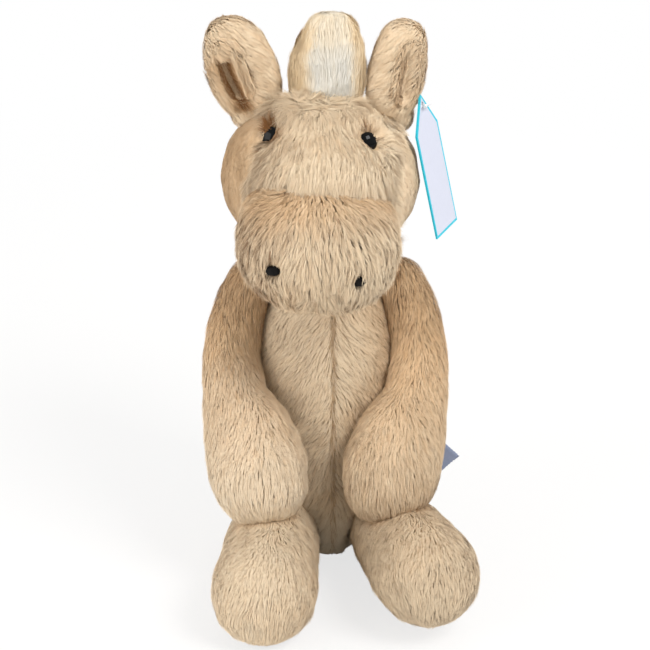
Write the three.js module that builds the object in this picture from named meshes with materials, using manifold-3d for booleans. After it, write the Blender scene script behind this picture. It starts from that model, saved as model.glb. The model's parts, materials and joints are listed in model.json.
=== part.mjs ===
// Plush horse, sitting, with a jointed head, ears, arms, legs, tail and swing tag.
// Millimetres, +Z up, the toy faces -Y and its own left side is +X.
import * as THREE from 'three';
import { mergeVertices } from 'three/addons/utils/BufferGeometryUtils.js';
import Module from 'manifold-3d';

const wasm = await Module();
wasm.setup();

const degrees = THREE.MathUtils.degToRad;

// Fits
const seamGap = 0.3;            // between two pieces that are sewn or pressed together
const weldTolerance = 0.0002;
const cutOverrun = 6;           // how far a cutting tool runs past what it cuts
const floorTrim = 2;            // depth of the flat pressed into a form that stands on the floor

// Body: a pear of plush, widest at the seat
const bodyHeight = 141;
const bodyLean = 3;             // the shoulders sit this far behind the seat
const bodySway = 2.5;           // and this far to the toy's right
const seatHalfWidth = 45;
const seatHalfDepth = 39;
const hipsHalfWidth = 45;
const hipsHalfDepth = 40;
const bellyHalfWidth = 39;
const bellyHalfDepth = 36;
const chestHalfWidth = 35;
const chestHalfDepth = 31;
const shoulderHalfWidth = 33;
const shoulderHalfDepth = 28;
const bodyRoundness = 2.6;      // exponent of its rounded top, 2 is an ellipse
const seatRoundness = 4.2;      // exponent of its base, which pellets press flat

// Neck dome that the head turns on
const neckRadius = 22;
const neckSink = 7;             // the neck centre lies this far below the top of the body
const neckBack = 1;
const headShift = 7;            // the head sits this far to the toy's right
const headRoll = degrees(2.5);

// Pellet pouch in the seat, and the hand-sewn closing slit under it
const pouchHalfWidth = 24;
const pouchHalfDepth = 20;
const pouchHalfHeight = 10;
const pouchHeight = 26;
const pouchBack = 8;
const slitWidth = 0.8;
const slitLength = 18;

// Head: a ball with a sloping bridge, measured from the neck centre
const headRise = 50;            // neck centre to head centre
const headForward = 4;
const headHalfWidth = 45;
const headHalfDepth = 39;
const headHalfHeight = 38.5;
const bridgeHalfWidth = 29;
const browHalfWidth = 27;
const bridgeHalfThickness = 20;
const browForward = 6;          // head centre to the brow end of the bridge
const browRise = 18;
const bridgeReach = 46;
const bridgeDrop = 16;
const bridgeRoundness = 2.6;

// Muzzle: a broad rounded cap sewn on below the bridge, measured from the head centre
const muzzleForward = 47;
const muzzleDrop = 14;
const muzzleHalfWidth = 33.5;
const muzzleHalfDepth = 31;
const muzzleHalfHeight = 24.3;
const muzzleDroop = degrees(22);
const muzzleRoll = degrees(5);
const muzzleRoundness = 2.4;     // exponent of its section, 2 is an ellipse

// Nostrils: satin-stitched ovals
const nostrilHalfSpan = 18;
const nostrilRise = 3.8;         // above the muzzle centre
const nostrilHalfWidth = 3.2;
const nostrilHalfHeight = 2.3;
const nostrilProud = 0.6;
const nostrilSink = 1.2;

// Safety eyes: a dome on a ringed shank, locked by a washer inside the head
const eyeHalfSpan = 21.6;
const eyeShift = 1.3;           // both are set this far to the toy's right
const eyeRise = 24;             // above the head centre
const eyeRadius = 4.5;
const eyeDome = 3;
const eyeRim = 0.9;
const eyeSink = 1.4;
const eyeOutTurn = degrees(24);
const eyeUpTurn = degrees(14);
const shankRadius = 2;
const shankLength = 14;
const shankRings = 4;
const shankRingHeight = 0.3;
const shankRingPitch = 1.7;
const washerRadius = 5.5;
const washerThickness = 1.6;
const washerDepth = 7.5;          // from the seat of the eye down to the washer

// Ears: a cupped leaf of plush with its own lining, on a rolled root
const earHalfSpan = 30;
const earBack = 3;
const earRise = 28;             // head centre to the rolled root
const earLength = 44;
const earHalfWidth = 13;
const earTipHalfWidth = 12;
const earRootHalfWidth = 8.5;
const earHalfThickness = 5;
const rightEarSpread = 2;        // the right ear is this much wider to each side
const rightEarLean = degrees(20);
const leftEarLean = degrees(6);
const rightEarTurn = degrees(12);
const leftEarTurn = degrees(30);
const earRollRadius = 4.6;
const earRollLength = 11;
const earCupRadius = 8.4;
const earCupShift = 2.6;        // the hollow lies this far towards the outer edge
const earCupStart = 6;
const earCupEnd = 39;
const earCupDepth = 5.4;
const liningThickness = 1.5;
const earFold = degrees(30);

// Forelock, mane and tail in long cream pile
const forelockHalfWidth = 16.5;
const forelockMidHalfWidth = 15;
const forelockTipHalfWidth = 10;
const forelockHalfDepth = 8.5;
const forelockHeight = 37;
const forelockForward = 3;
const forelockSink = 8;
const forelockLean = 3;
const maneHalfWidth = 8.5;
const maneHalfThickness = 6.5;
const maneStart = degrees(62);  // angle up from the level, at the back of the head
const maneEnd = degrees(-34);
const maneRoot = 1;             // how deep the strip's middle lies under the pile of the head
const tailHeight = 36;
const tailRootRadius = 5;
const tailHalfWidth = 8;
const tailHalfThickness = 6;
const tailOut = 14;
const tailDrop = 31;
const tailTipOut = 12;

// Arms, measured from the shoulder centre outwards, forwards and down
const shoulderHalfSpan = 34;
const shoulderDrop = 10;        // the shoulder centre lies this far below the top of the body
const shoulderForward = 1;
const shoulderRadius = 10.5;
const armholeRadius = 13;
const elbowOut = 9.5;
const elbowForward = 12;
const elbowDrop = 25;
const forearmOut = 8;
const forearmForward = 29;
const forearmDrop = 46;
const wristOut = 1;
const wristForward = 43;
const wristDrop = 60;
const handOut = -4;
const handForward = 54;
const handDrop = 74;
const fingerOut = -7;
const fingerForward = 62;
const fingerDrop = 93;
const upperArmRadius = 11.5;
const forearmRadius = 13;
const handRadius = 22;
const handHalfThickness = 19;
const limbRoundness = 2.8;
const armRoundness = 3.6;
const legRoundness = 3.4;
const armSwing = degrees(78);
const armAxisTurn = degrees(35);

// Legs, measured from the hip centre
const hipHalfSpan = 26;
const hipForward = 27;
const hipRadius = 18;
const thighRadius = 21;
const legLength = 88;           // hip centre to the end of the foot
const calfRadius = 20.5;
const footRadius = 22.5;
const footPress = 1.9;            // how far below its full radius a foot is pressed by the floor
const hipHeight = footRadius - footPress;
const rightLegSplay = degrees(3);
const leftLegSplay = degrees(14);
const leftLegLift = degrees(7.3);

// Swing tag: a five-cornered card on a clear moulded pin through the rim of the left ear
const tagWidth = 30;
const tagSide = 48;
const tagPeak = 16;
const tagThickness = 0.8;
const tagHoleRadius = 1.6;
const tagHoleInset = 5;
const tagFacing = degrees(69);  // from straight ahead round to the toy's left
const tagLean = degrees(13);
const tagOut = 5;               // from the root of the pin to the hole of the card
const tagForward = 3;
const tagDrop = 6;
const pinRadius = 0.4;
const pinHead = 0.7;            // radius of the two cross bars of the pin
const pinHeadLength = 7;
const pinHeadGap = 0.9;
const pinRise = 13;             // above the root of the ear
const pinInset = 3.2;           // in from the edge of the ear

// Side label: a folded ribbon caught in the left side seam
const labelWidth = 17;
const labelReach = 21;
const labelThickness = 1;
const labelTuck = 5;
const labelHeight = 38;
const labelBack = 6;

// Facet counts
const bodySides = 20;
const bodyRings = 12;
const limbSides = 14;
const limbRings = 10;
const earSides = 12;
const earRings = 9;
const ballSides = 18;
const ballRings = 11;
const neckSides = 20;
const hipSides = 20;
const shoulderSides = 16;
const jointRings = 8;
const trimSides = 12;
const trimRings = 8;
const pinSides = 8;
const pinSteps = 14;
const sweepSteps = 2;
const ringCrowding = 0.7;

const plush = { color: 0xd3a878, roughness: 0.95, metalness: 0 };
const paleplush = { color: 0xdcb88c, roughness: 0.95, metalness: 0 };
const cream = { color: 0xf2e3cb, roughness: 0.95, metalness: 0 };
const thread = { color: 0x17120f, roughness: 0.7, metalness: 0 };
const blackGloss = { color: 0x0b0a0a, roughness: 0.12, metalness: 0 };
const clearPlastic = { color: 0xf4f6f6, roughness: 0.2, metalness: 0 };
const card = { color: 0xe9ecf5, roughness: 0.45, metalness: 0 };
const satin = { color: 0x8b93ab, roughness: 0.4, metalness: 0 };
const canvas = { color: 0xe4dccb, roughness: 0.9, metalness: 0 };

const right = new THREE.Vector3(1, 0, 0);
const ahead = new THREE.Vector3(0, -1, 0);
const up = new THREE.Vector3(0, 0, 1);

// A closed geometry as a solid that can be joined and cut
function solid(geometry) {
  const bare = geometry.index ? geometry.toNonIndexed() : geometry.clone();
  bare.deleteAttribute('normal');
  bare.deleteAttribute('uv');
  const closed = mergeVertices(bare, weldTolerance);
  return new wasm.Manifold(new wasm.Mesh({
    numProp: 3,
    vertProperties: new Float32Array(closed.getAttribute('position').array),
    triVerts: new Uint32Array(closed.index.array),
  }));
}

// The largest body of a cut solid, without crumbs
function mainBody(shape) {
  return shape.decompose().sort((a, b) => b.volume() - a.volume())[0];
}

// Hangs a solid, given in world coordinates, on its group as a named mesh
function hang(group, name, shape, finish) {
  group.updateWorldMatrix(true, false);
  const { vertProperties, triVerts } = mainBody(shape).getMesh();
  const geometry = new THREE.BufferGeometry();
  geometry.setAttribute('position', new THREE.BufferAttribute(vertProperties, 3));
  geometry.setIndex(new THREE.BufferAttribute(triVerts, 1));
  geometry.applyMatrix4(group.matrixWorld.clone().invert());
  geometry.computeVertexNormals();
  const mesh = new THREE.Mesh(geometry, new THREE.MeshStandardMaterial(finish));
  mesh.name = name;
  group.add(mesh);
  return mesh;
}

// A stuffed form: a ball drawn out along a bent spine. Half widths and half depths are given at
// even steps of its length, and the ends are rounded off. Crowding draws the rings to the ends.
function stuffedForm({ spine, widths, depths, roundness, baseRoundness = roundness, crowding = 1,
  sides, rings, front, grow = 0 }) {
  const ball = new THREE.SphereGeometry(1, sides, rings);
  const across = new THREE.SplineCurve(widths.map((w, i) => new THREE.Vector2(i, w)));
  const through = new THREE.SplineCurve(depths.map((d, i) => new THREE.Vector2(i, d)));
  const at = ball.getAttribute('position');
  const point = new THREE.Vector3();
  for (let i = 0; i < at.count; i++) {
    point.fromBufferAttribute(at, i);
    const latitude = Math.sign(point.y) * Math.pow(Math.abs(point.y), crowding);
    const share = THREE.MathUtils.clamp((1 - latitude) / 2, 0, 1);
    const fullness = latitude > 0 ? baseRoundness : roundness;
    const round = Math.pow(1 - Math.pow(Math.abs(latitude), fullness), 1 / fullness);
    const reach = Math.hypot(point.x, point.z) || 1;
    const tangent = spine.getTangentAt(share);
    const side = new THREE.Vector3().crossVectors(front, tangent).normalize();
    const face = new THREE.Vector3().crossVectors(tangent, side).normalize();
    const place = spine.getPointAt(share).addScaledVector(tangent, -point.y * grow);
    place.addScaledVector(side, (point.x / reach) * (across.getPoint(share).y + grow) * round);
    place.addScaledVector(face, (point.z / reach) * (through.getPoint(share).y + grow) * round);
    at.setXYZ(i, place.x, place.y, place.z);
  }
  return solid(ball);
}

function ellipsoid(centre, half, sides = ballSides, rings = ballRings, tip = 0) {
  const ball = new THREE.SphereGeometry(1, sides, rings).scale(half.x, half.y, half.z);
  return solid(ball.rotateX(tip).translate(centre.x, centre.y, centre.z));
}

// A rounded block: an ellipsoid whose sections are fuller than an ellipse
function roundedBlock(half, roundness, sides, rings, grow = 0) {
  const ball = new THREE.SphereGeometry(1, sides, rings).rotateX(Math.PI / 2);
  const at = ball.getAttribute('position');
  const point = new THREE.Vector3();
  for (let i = 0; i < at.count; i++) {
    point.fromBufferAttribute(at, i);
    const norm = Math.pow(Math.abs(point.x) ** roundness + Math.abs(point.y) ** roundness
      + Math.abs(point.z) ** roundness, 1 / roundness);
    point.divideScalar(norm).multiply(half.clone().addScalar(grow));
    at.setXYZ(i, point.x, point.y, point.z);
  }
  return solid(ball);
}

// A ball of a joint, its poles on the joint's axis
function jointBall(centre, radius, sides, axis) {
  const ball = new THREE.SphereGeometry(radius, sides, jointRings);
  ball.applyQuaternion(new THREE.Quaternion().setFromUnitVectors(new THREE.Vector3(0, 1, 0), axis));
  return solid(ball.translate(centre.x, centre.y, centre.z));
}

function moved(shape, matrix) {
  return shape.transform(matrix.elements);
}

function turnAbout(centre, axis, angle) {
  return new THREE.Matrix4().makeTranslation(centre.x, centre.y, centre.z)
    .multiply(new THREE.Matrix4().makeRotationAxis(axis, angle))
    .multiply(new THREE.Matrix4().makeTranslation(-centre.x, -centre.y, -centre.z));
}

// A solid cut by another one in every place that the other takes through a swing
function cutThroughSwing(shape, tool, centre, axis, from, to) {
  let left = shape;
  for (let step = 0; step <= sweepSteps; step++) {
    const angle = from + (to - from) * step / sweepSteps;
    left = left.subtract(moved(tool, turnAbout(centre, axis, angle)));
  }
  return left;
}

// A round piece turned from its half profile, its axis along the given direction
function turned(profile, base, direction, sides = trimSides) {
  const shape = new THREE.LatheGeometry(profile.map(([r, h]) => new THREE.Vector2(r, h)), sides);
  shape.applyQuaternion(new THREE.Quaternion().setFromUnitVectors(
    new THREE.Vector3(0, 1, 0), direction));
  return solid(shape.translate(base.x, base.y, base.z));
}

// Where a line that comes in along a direction meets a solid
function meets(shape, target, direction) {
  const { vertProperties, triVerts } = shape.getMesh();
  const geometry = new THREE.BufferGeometry();
  geometry.setAttribute('position', new THREE.BufferAttribute(vertProperties, 3));
  geometry.setIndex(new THREE.BufferAttribute(triVerts, 1));
  geometry.computeBoundingSphere();
  const start = target.clone().addScaledVector(direction, geometry.boundingSphere.radius * 2);
  const ray = new THREE.Raycaster(start, direction.clone().negate());
  const skin = new THREE.Mesh(geometry, new THREE.MeshStandardMaterial({ side: THREE.DoubleSide }));
  return ray.intersectObject(skin)[0].point;
}

// Groups: one at each pivot
const toy = new THREE.Group();
function pivot(parent, x, y, z) {
  const group = new THREE.Group();
  group.position.set(x, y, z);
  parent.add(group);
  return group;
}

// The body with its neck dome
const neckCentre = new THREE.Vector3(-headShift, neckBack, bodyHeight - neckSink);
function bodyForm(grow = 0) {
  return stuffedForm({
    spine: new THREE.CatmullRomCurve3([
      new THREE.Vector3(0, 0, -floorTrim),
      new THREE.Vector3(-bodySway / 2, bodyLean / 2, bodyHeight / 2),
      new THREE.Vector3(-bodySway, bodyLean, bodyHeight)]),
    widths: [seatHalfWidth, hipsHalfWidth, bellyHalfWidth, chestHalfWidth, shoulderHalfWidth],
    depths: [seatHalfDepth, hipsHalfDepth, bellyHalfDepth, chestHalfDepth, shoulderHalfDepth],
    roundness: bodyRoundness, baseRoundness: seatRoundness, crowding: ringCrowding,
    sides: bodySides, rings: bodyRings, front: ahead, grow,
  }).add(jointBall(neckCentre, neckRadius + grow, neckSides, right));
}

// The floor under the toy, as a block to trim the forms that stand on it
const floorBlock = solid(new THREE.BoxGeometry(bodyHeight * 2, bodyHeight * 2, cutOverrun)
  .translate(0, 0, -cutOverrun / 2));

// Legs: a ball in the hip socket, a calf and a round foot
function hipCentre(side) {
  return new THREE.Vector3(side * hipHalfSpan, -hipForward, hipHeight);
}

function legForm(side, grow = 0) {
  const splay = side > 0 ? leftLegSplay : rightLegSplay;
  const lift = side > 0 ? leftLegLift : 0;
  const away = new THREE.Vector3(side * Math.sin(splay), -Math.cos(splay), Math.tan(lift)).normalize();
  const hip = hipCentre(side);
  const toe = hip.clone().addScaledVector(away, legLength);
  return stuffedForm({
    spine: new THREE.LineCurve3(hip, toe),
    widths: [thighRadius, calfRadius, calfRadius, footRadius, footRadius],
    depths: [thighRadius, calfRadius, calfRadius, footRadius, footRadius],
    roundness: legRoundness, sides: limbSides, rings: limbRings, front: up, grow,
  });
}

// The room in front of and under the hip that the leg swings down through
function hipRoom(side) {
  const radius = calfRadius + seamGap;
  const hip = hipCentre(side);
  const stand = new THREE.CylinderGeometry(radius, radius, hipHeight + cutOverrun, limbSides)
    .rotateX(Math.PI / 2).translate(hip.x, hip.y, (hipHeight - cutOverrun) / 2);
  const sweep = new THREE.BoxGeometry(radius * 2, seatHalfDepth, hipHeight + cutOverrun)
    .translate(hip.x, hip.y - seatHalfDepth / 2, (hipHeight - cutOverrun) / 2);
  return solid(stand).add(solid(sweep));
}

// Arms: a ball in the shoulder socket, bent at the elbow, swelling to a round hand
function shoulderCentre(side) {
  return new THREE.Vector3(
    side * shoulderHalfSpan - bodySway, bodyLean - shoulderForward,
    bodyHeight - shoulderDrop);
}

function armAxis(side) {
  return new THREE.Vector3(Math.cos(armAxisTurn), side * Math.sin(armAxisTurn), 0);
}

function armForm(side, grow = 0) {
  const from = shoulderCentre(side);
  const at = (out, forth, down) => from.clone().add(new THREE.Vector3(side * out, -forth, -down));
  return stuffedForm({
    spine: new THREE.CatmullRomCurve3([
      at(0, 0, -shoulderRadius / 2),
      at(elbowOut, elbowForward, elbowDrop), at(forearmOut, forearmForward, forearmDrop),
      at(wristOut, wristForward, wristDrop), at(handOut, handForward, handDrop),
      at(fingerOut, fingerForward, fingerDrop)]),
    widths: [armholeRadius, upperArmRadius, forearmRadius, handRadius, handRadius],
    depths: [armholeRadius, upperArmRadius, forearmRadius, handHalfThickness, handHalfThickness],
    roundness: armRoundness, sides: limbSides, rings: limbRings, front: ahead, grow,
  });
}

// Body: sockets for the shoulders and hips, room for the legs to swing down, the pouch pocket
// with its closing slit, and the slot of the side label
let body = bodyForm();
const bodyTool = bodyForm(seamGap);
const pouchCentre = new THREE.Vector3(0, pouchBack, pouchHeight);
const pouchHalf = new THREE.Vector3(pouchHalfWidth, pouchHalfDepth, pouchHalfHeight);
const pouch = ellipsoid(pouchCentre, pouchHalf, trimSides * 2, trimRings);
const legs = new Map();
const arms = new Map();
for (const side of [1, -1]) {
  const hip = hipCentre(side);
  const shoulder = shoulderCentre(side);
  const hipBall = jointBall(hip, hipRadius, hipSides, right);
  const shoulderBall = jointBall(shoulder, shoulderRadius, shoulderSides, armAxis(side));
  legs.set(side, legForm(side).subtract(bodyTool).add(hipBall).subtract(floorBlock));
  body = body.subtract(jointBall(hip, hipRadius + seamGap, hipSides, right)).subtract(hipRoom(side));
  const arm = cutThroughSwing(armForm(side), bodyTool, shoulder, armAxis(side), 0, armSwing);
  arms.set(side, arm.subtract(legForm(side, seamGap)).add(shoulderBall));
  body = body.subtract(jointBall(shoulder, shoulderRadius + seamGap, shoulderSides, armAxis(side)));
}
body = body.subtract(floorBlock)
  .subtract(ellipsoid(pouchCentre, pouchHalf.clone().addScalar(seamGap), trimSides * 2, trimRings))
  .subtract(solid(new THREE.BoxGeometry(slitWidth, slitLength, pouchHeight)
    .translate(0, pouchBack, pouchHeight / 2 - cutOverrun)));

// Side label in its slot
const labelMiddle = meets(body, new THREE.Vector3(0, labelBack, labelHeight), right);
function labelShape(grow) {
  return solid(new THREE.BoxGeometry(
    labelReach + labelTuck + 2 * grow, labelThickness + 2 * grow, labelWidth + 2 * grow)
    .translate(labelMiddle.x + (labelReach - labelTuck) / 2, labelMiddle.y, labelMiddle.z));
}
body = body.subtract(labelShape(seamGap));

// Tail: a rolled root in the back of the body and a tuft that hangs behind
const tailRoot = meets(body, new THREE.Vector3(0, 0, tailHeight), ahead.clone().negate());
const tailTool = jointBall(tailRoot, tailRootRadius + seamGap, shoulderSides, right);
const tail = stuffedForm({
  spine: new THREE.QuadraticBezierCurve3(
    tailRoot.clone(), tailRoot.clone().add(new THREE.Vector3(0, tailOut, 0)),
    tailRoot.clone().add(new THREE.Vector3(0, tailTipOut, -tailDrop))),
  widths: [tailRootRadius, tailHalfWidth, tailHalfWidth], depths: [tailRootRadius, tailHalfThickness,
    tailHalfThickness],
  roundness: limbRoundness, sides: trimSides, rings: trimRings, front: right,
}).subtract(bodyTool).add(jointBall(tailRoot, tailRootRadius, shoulderSides, right));
body = body.subtract(tailTool);

// Head frame: its origin is the neck centre
const headPlace = new THREE.Matrix4().makeTranslation(neckCentre.x, neckCentre.y, neckCentre.z)
  .multiply(new THREE.Matrix4().makeRotationY(headRoll));
const inHead = (x, y, z) => new THREE.Vector3(x, y - headForward, z + headRise);
const onHead = (x, y, z) => inHead(x, y, z).applyMatrix4(headPlace);
const headAim = (x, y, z) => new THREE.Vector3(x, y, z).transformDirection(headPlace);

function headForm(grow = 0) {
  const half = new THREE.Vector3(headHalfWidth, headHalfDepth, headHalfHeight).addScalar(grow);
  const brow = inHead(0, -browForward, browRise);
  const bridge = stuffedForm({
    spine: new THREE.LineCurve3(brow.clone().add(new THREE.Vector3(0, bridgeHalfThickness, 0)),
      brow.clone().add(new THREE.Vector3(0, -bridgeReach, -bridgeDrop))),
    widths: [browHalfWidth, bridgeHalfWidth, bridgeHalfWidth],
    depths: [bridgeHalfThickness, bridgeHalfThickness, bridgeHalfThickness],
    roundness: bridgeRoundness, sides: limbSides, rings: limbRings, front: up, grow,
  });
  return moved(ellipsoid(inHead(0, 0, 0), half).add(bridge), headPlace);
}

const headTool = headForm(seamGap);
const neckTool = jointBall(neckCentre, neckRadius + seamGap, neckSides, right);
let head = headForm().subtract(neckTool);
const muzzleCentre = inHead(0, -muzzleForward, -muzzleDrop);
const muzzlePlace = headPlace.clone()
  .multiply(new THREE.Matrix4().makeTranslation(muzzleCentre.x, muzzleCentre.y, muzzleCentre.z))
  .multiply(new THREE.Matrix4().makeRotationY(muzzleRoll))
  .multiply(new THREE.Matrix4().makeRotationX(muzzleDroop));
let muzzle = moved(roundedBlock(
  new THREE.Vector3(muzzleHalfWidth, muzzleHalfDepth, muzzleHalfHeight),
  muzzleRoundness, ballSides, ballRings), muzzlePlace).subtract(headTool);

// Eyes: dome, ringed shank and washer, with the seat, bore and pocket that hold them
const eyes = new Map();
for (const side of [1, -1]) {
  const look = headAim(side * Math.sin(eyeOutTurn), -Math.cos(eyeOutTurn), Math.sin(eyeUpTurn));
  const seat = meets(head, onHead(side * eyeHalfSpan - eyeShift, 0, eyeRise), headAim(0, -1, 0))
    .addScaledVector(look, -eyeSink);
  const ringed = [];
  for (let ring = 0; ring < shankRings; ring++) {
    const z = -shankLength + (ring + 1) * shankRingPitch;
    ringed.push([shankRadius, z - shankRingPitch / 2], [shankRadius + shankRingHeight, z]);
  }
  const dome = new THREE.EllipseCurve(0, eyeRim, eyeRadius, eyeDome, 0, Math.PI / 2)
    .getPoints(trimRings / 2).map((p) => [Math.max(p.x, 0), p.y]);
  dome[dome.length - 1][0] = 0;
  const eye = turned([[0, -shankLength], [shankRadius, -shankLength], ...ringed,
    [shankRadius, -washerDepth / 2], [shankRadius, 0], [eyeRadius, 0], ...dome], seat, look, trimSides);
  const bore = shankRadius + shankRingHeight + seamGap;
  const hole = turned([[0, -shankLength - seamGap], [bore, -shankLength - seamGap],
    [bore, -washerDepth - washerThickness - seamGap],
    [washerRadius + seamGap, -washerDepth - washerThickness - seamGap],
    [washerRadius + seamGap, -washerDepth + seamGap], [bore, -washerDepth + seamGap],
    [bore, -seamGap], [eyeRadius + seamGap, -seamGap], [eyeRadius + seamGap, cutOverrun],
    [0, cutOverrun]], seat, look, trimSides);
  const washer = turned([[bore, -washerDepth - washerThickness], [washerRadius, -washerDepth -
    washerThickness], [washerRadius, -washerDepth], [bore, -washerDepth],
    [bore, -washerDepth - washerThickness]], seat, look, trimSides);
  head = head.subtract(hole);
  eyes.set(side, { eye, washer });
}

// Nostrils: stitched pads in shallow seats of the muzzle
const nostrils = new Map();
for (const side of [1, -1]) {
  const look = ahead.clone().transformDirection(muzzlePlace);
  const seat = meets(muzzle, new THREE.Vector3(side * nostrilHalfSpan, 0, nostrilRise)
    .applyMatrix4(muzzlePlace), look);
  const pad = (grow) => ellipsoid(seat, new THREE.Vector3(
    nostrilHalfWidth + grow, nostrilSink + nostrilProud + grow, nostrilHalfHeight + grow),
  trimSides, trimRings);
  nostrils.set(side, pad(0));
  muzzle = muzzle.subtract(pad(seamGap));
}

// Ears: a leaf with a cup scooped from its front, a lining in the cup, and a rolled root that
// turns in a trough of the head
function earPlace(side) {
  const root = inHead(side * earHalfSpan, earBack, earRise);
  return headPlace.clone()
    .multiply(new THREE.Matrix4().makeTranslation(root.x, root.y, root.z))
    .multiply(new THREE.Matrix4().makeRotationY(side > 0 ? leftEarLean : -rightEarLean))
    .multiply(new THREE.Matrix4().makeRotationZ(side > 0 ? leftEarTurn : -rightEarTurn));
}

function earLeaf(side, grow = 0) {
  const spread = side > 0 ? 0 : rightEarSpread;
  return stuffedForm({
    spine: new THREE.LineCurve3(new THREE.Vector3(0, 0, -earRollRadius), new THREE.Vector3(0, 0, earLength)),
    widths: [earRootHalfWidth + spread, earHalfWidth + spread, earHalfWidth + spread, earTipHalfWidth],
    depths: [earHalfThickness, earHalfThickness, earHalfThickness, earHalfThickness],
    roundness: limbRoundness, sides: earSides, rings: earRings, front: ahead, grow,
  });
}

function earCup(side, shrink) {
  const radius = earCupRadius - shrink;
  const straight = earCupEnd - earCupStart - 2 * earCupRadius;
  return solid(new THREE.CapsuleGeometry(radius, straight, trimRings / 2, trimSides + 2)
    .rotateX(Math.PI / 2)
    .translate(side * earCupShift, -earHalfThickness - earCupRadius + earCupDepth,
      (earCupStart + earCupEnd) / 2));
}

function earRoll(grow = 0) {
  return solid(new THREE.CapsuleGeometry(earRollRadius + grow, earRollLength, trimRings / 2, trimSides)
    .rotateZ(Math.PI / 2));
}

const ears = new Map();
for (const side of [1, -1]) {
  const place = earPlace(side);
  const root = new THREE.Vector3().setFromMatrixPosition(place);
  const axis = right.clone().transformDirection(place);
  const leaf = cutThroughSwing(moved(earLeaf(side), place), headTool, root, axis, -earFold, earFold);
  const shell = leaf.add(moved(earRoll(), place)).subtract(moved(earCup(side, 0), place));
  const lining = moved(earCup(side, seamGap).subtract(earCup(side, seamGap + liningThickness))
    .intersect(earLeaf(side, -seamGap)), place).intersect(leaf);
  head = head.subtract(moved(earRoll(seamGap), place));
  ears.set(side, { place, root, shell, lining });
}

// Forelock between the ears and mane down the back of the head
const crown = inHead(0, -forelockForward, headHalfHeight - forelockSink);
const forelock = moved(stuffedForm({
  spine: new THREE.LineCurve3(crown, crown.clone().add(
    new THREE.Vector3(forelockLean, 0, forelockHeight + forelockSink))),
  widths: [forelockHalfWidth, forelockMidHalfWidth, forelockTipHalfWidth],
  depths: [forelockHalfDepth, forelockHalfDepth, forelockHalfDepth],
  roundness: limbRoundness, sides: trimSides, rings: trimRings, front: ahead,
}), headPlace).subtract(headTool);
const manePath = new THREE.EllipseCurve(0, 0, headHalfDepth + maneRoot, headHalfHeight + maneRoot,
  maneStart, maneEnd, true).getPoints(trimRings).map((p) => onHead(0, p.x, p.y));
const mane = stuffedForm({
  spine: new THREE.CatmullRomCurve3(manePath),
  widths: [maneHalfWidth, maneHalfWidth, maneHalfWidth],
  depths: [maneHalfThickness, maneHalfThickness, maneHalfThickness],
  roundness: limbRoundness, sides: trimSides, rings: trimRings, front: right,
}).subtract(headTool).subtract(bodyTool);

// Swing tag and the clear pin that holds it to the rim of the left ear
const leftEar = ears.get(1);
const pinRoot = new THREE.Vector3(earHalfWidth - pinInset, 0, pinRise).applyMatrix4(leftEar.place);
const tagHole = pinRoot.clone().add(new THREE.Vector3(tagOut, -tagForward, -tagDrop));
const facing = new THREE.Vector3(Math.sin(tagFacing), -Math.cos(tagFacing), 0);
const tagAxis = new THREE.Vector3().crossVectors(up, facing);
const tagNormal = facing.clone().applyAxisAngle(tagAxis, -tagLean);
const tagUp = new THREE.Vector3().crossVectors(tagNormal, tagAxis);
const tagOutline = new THREE.Shape([
  [0, tagHoleInset], [-tagWidth / 2, tagHoleInset - tagPeak],
  [-tagWidth / 2, tagHoleInset - tagPeak - tagSide], [tagWidth / 2, tagHoleInset - tagPeak - tagSide],
  [tagWidth / 2, tagHoleInset - tagPeak]].map(([x, y]) => new THREE.Vector2(x, y)));
tagOutline.holes.push(new THREE.Path().absarc(0, 0, tagHoleRadius, 0, Math.PI * 2, true));
const tagCard = solid(new THREE.ExtrudeGeometry(tagOutline, {
  depth: tagThickness, bevelEnabled: false, curveSegments: trimSides / 2 })
  .translate(0, 0, -tagThickness / 2)
  .applyMatrix4(new THREE.Matrix4().makeBasis(tagAxis, tagUp, tagNormal))
  .translate(tagHole.x, tagHole.y, tagHole.z));
const pinEnd = tagHole.clone().addScaledVector(facing, tagThickness + pinHeadGap);
const pinPath = new THREE.CubicBezierCurve3(pinRoot,
  pinRoot.clone().addScaledVector(up, -tagDrop),
  tagHole.clone().addScaledVector(facing, -tagOut / 2), pinEnd);
const crossBar = (centre, along, radius) => solid(new THREE.CylinderGeometry(
  radius, radius, pinHeadLength, pinSides).applyQuaternion(new THREE.Quaternion()
  .setFromUnitVectors(new THREE.Vector3(0, 1, 0), along)).translate(centre.x, centre.y, centre.z));
const earUp = up.clone().transformDirection(leftEar.place);
function pinShape(grow) {
  const ring = new THREE.Shape().absarc(0, 0, pinRadius + grow, 0, Math.PI * 2);
  return solid(new THREE.ExtrudeGeometry(ring, { steps: pinSteps, curveSegments: pinSides / 2,
    bevelEnabled: false, extrudePath: pinPath }))
    .add(crossBar(pinRoot, earUp, pinHead + grow)).add(crossBar(pinEnd, tagAxis, pinHead + grow));
}
leftEar.shell = leftEar.shell.subtract(pinShape(seamGap));

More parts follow.
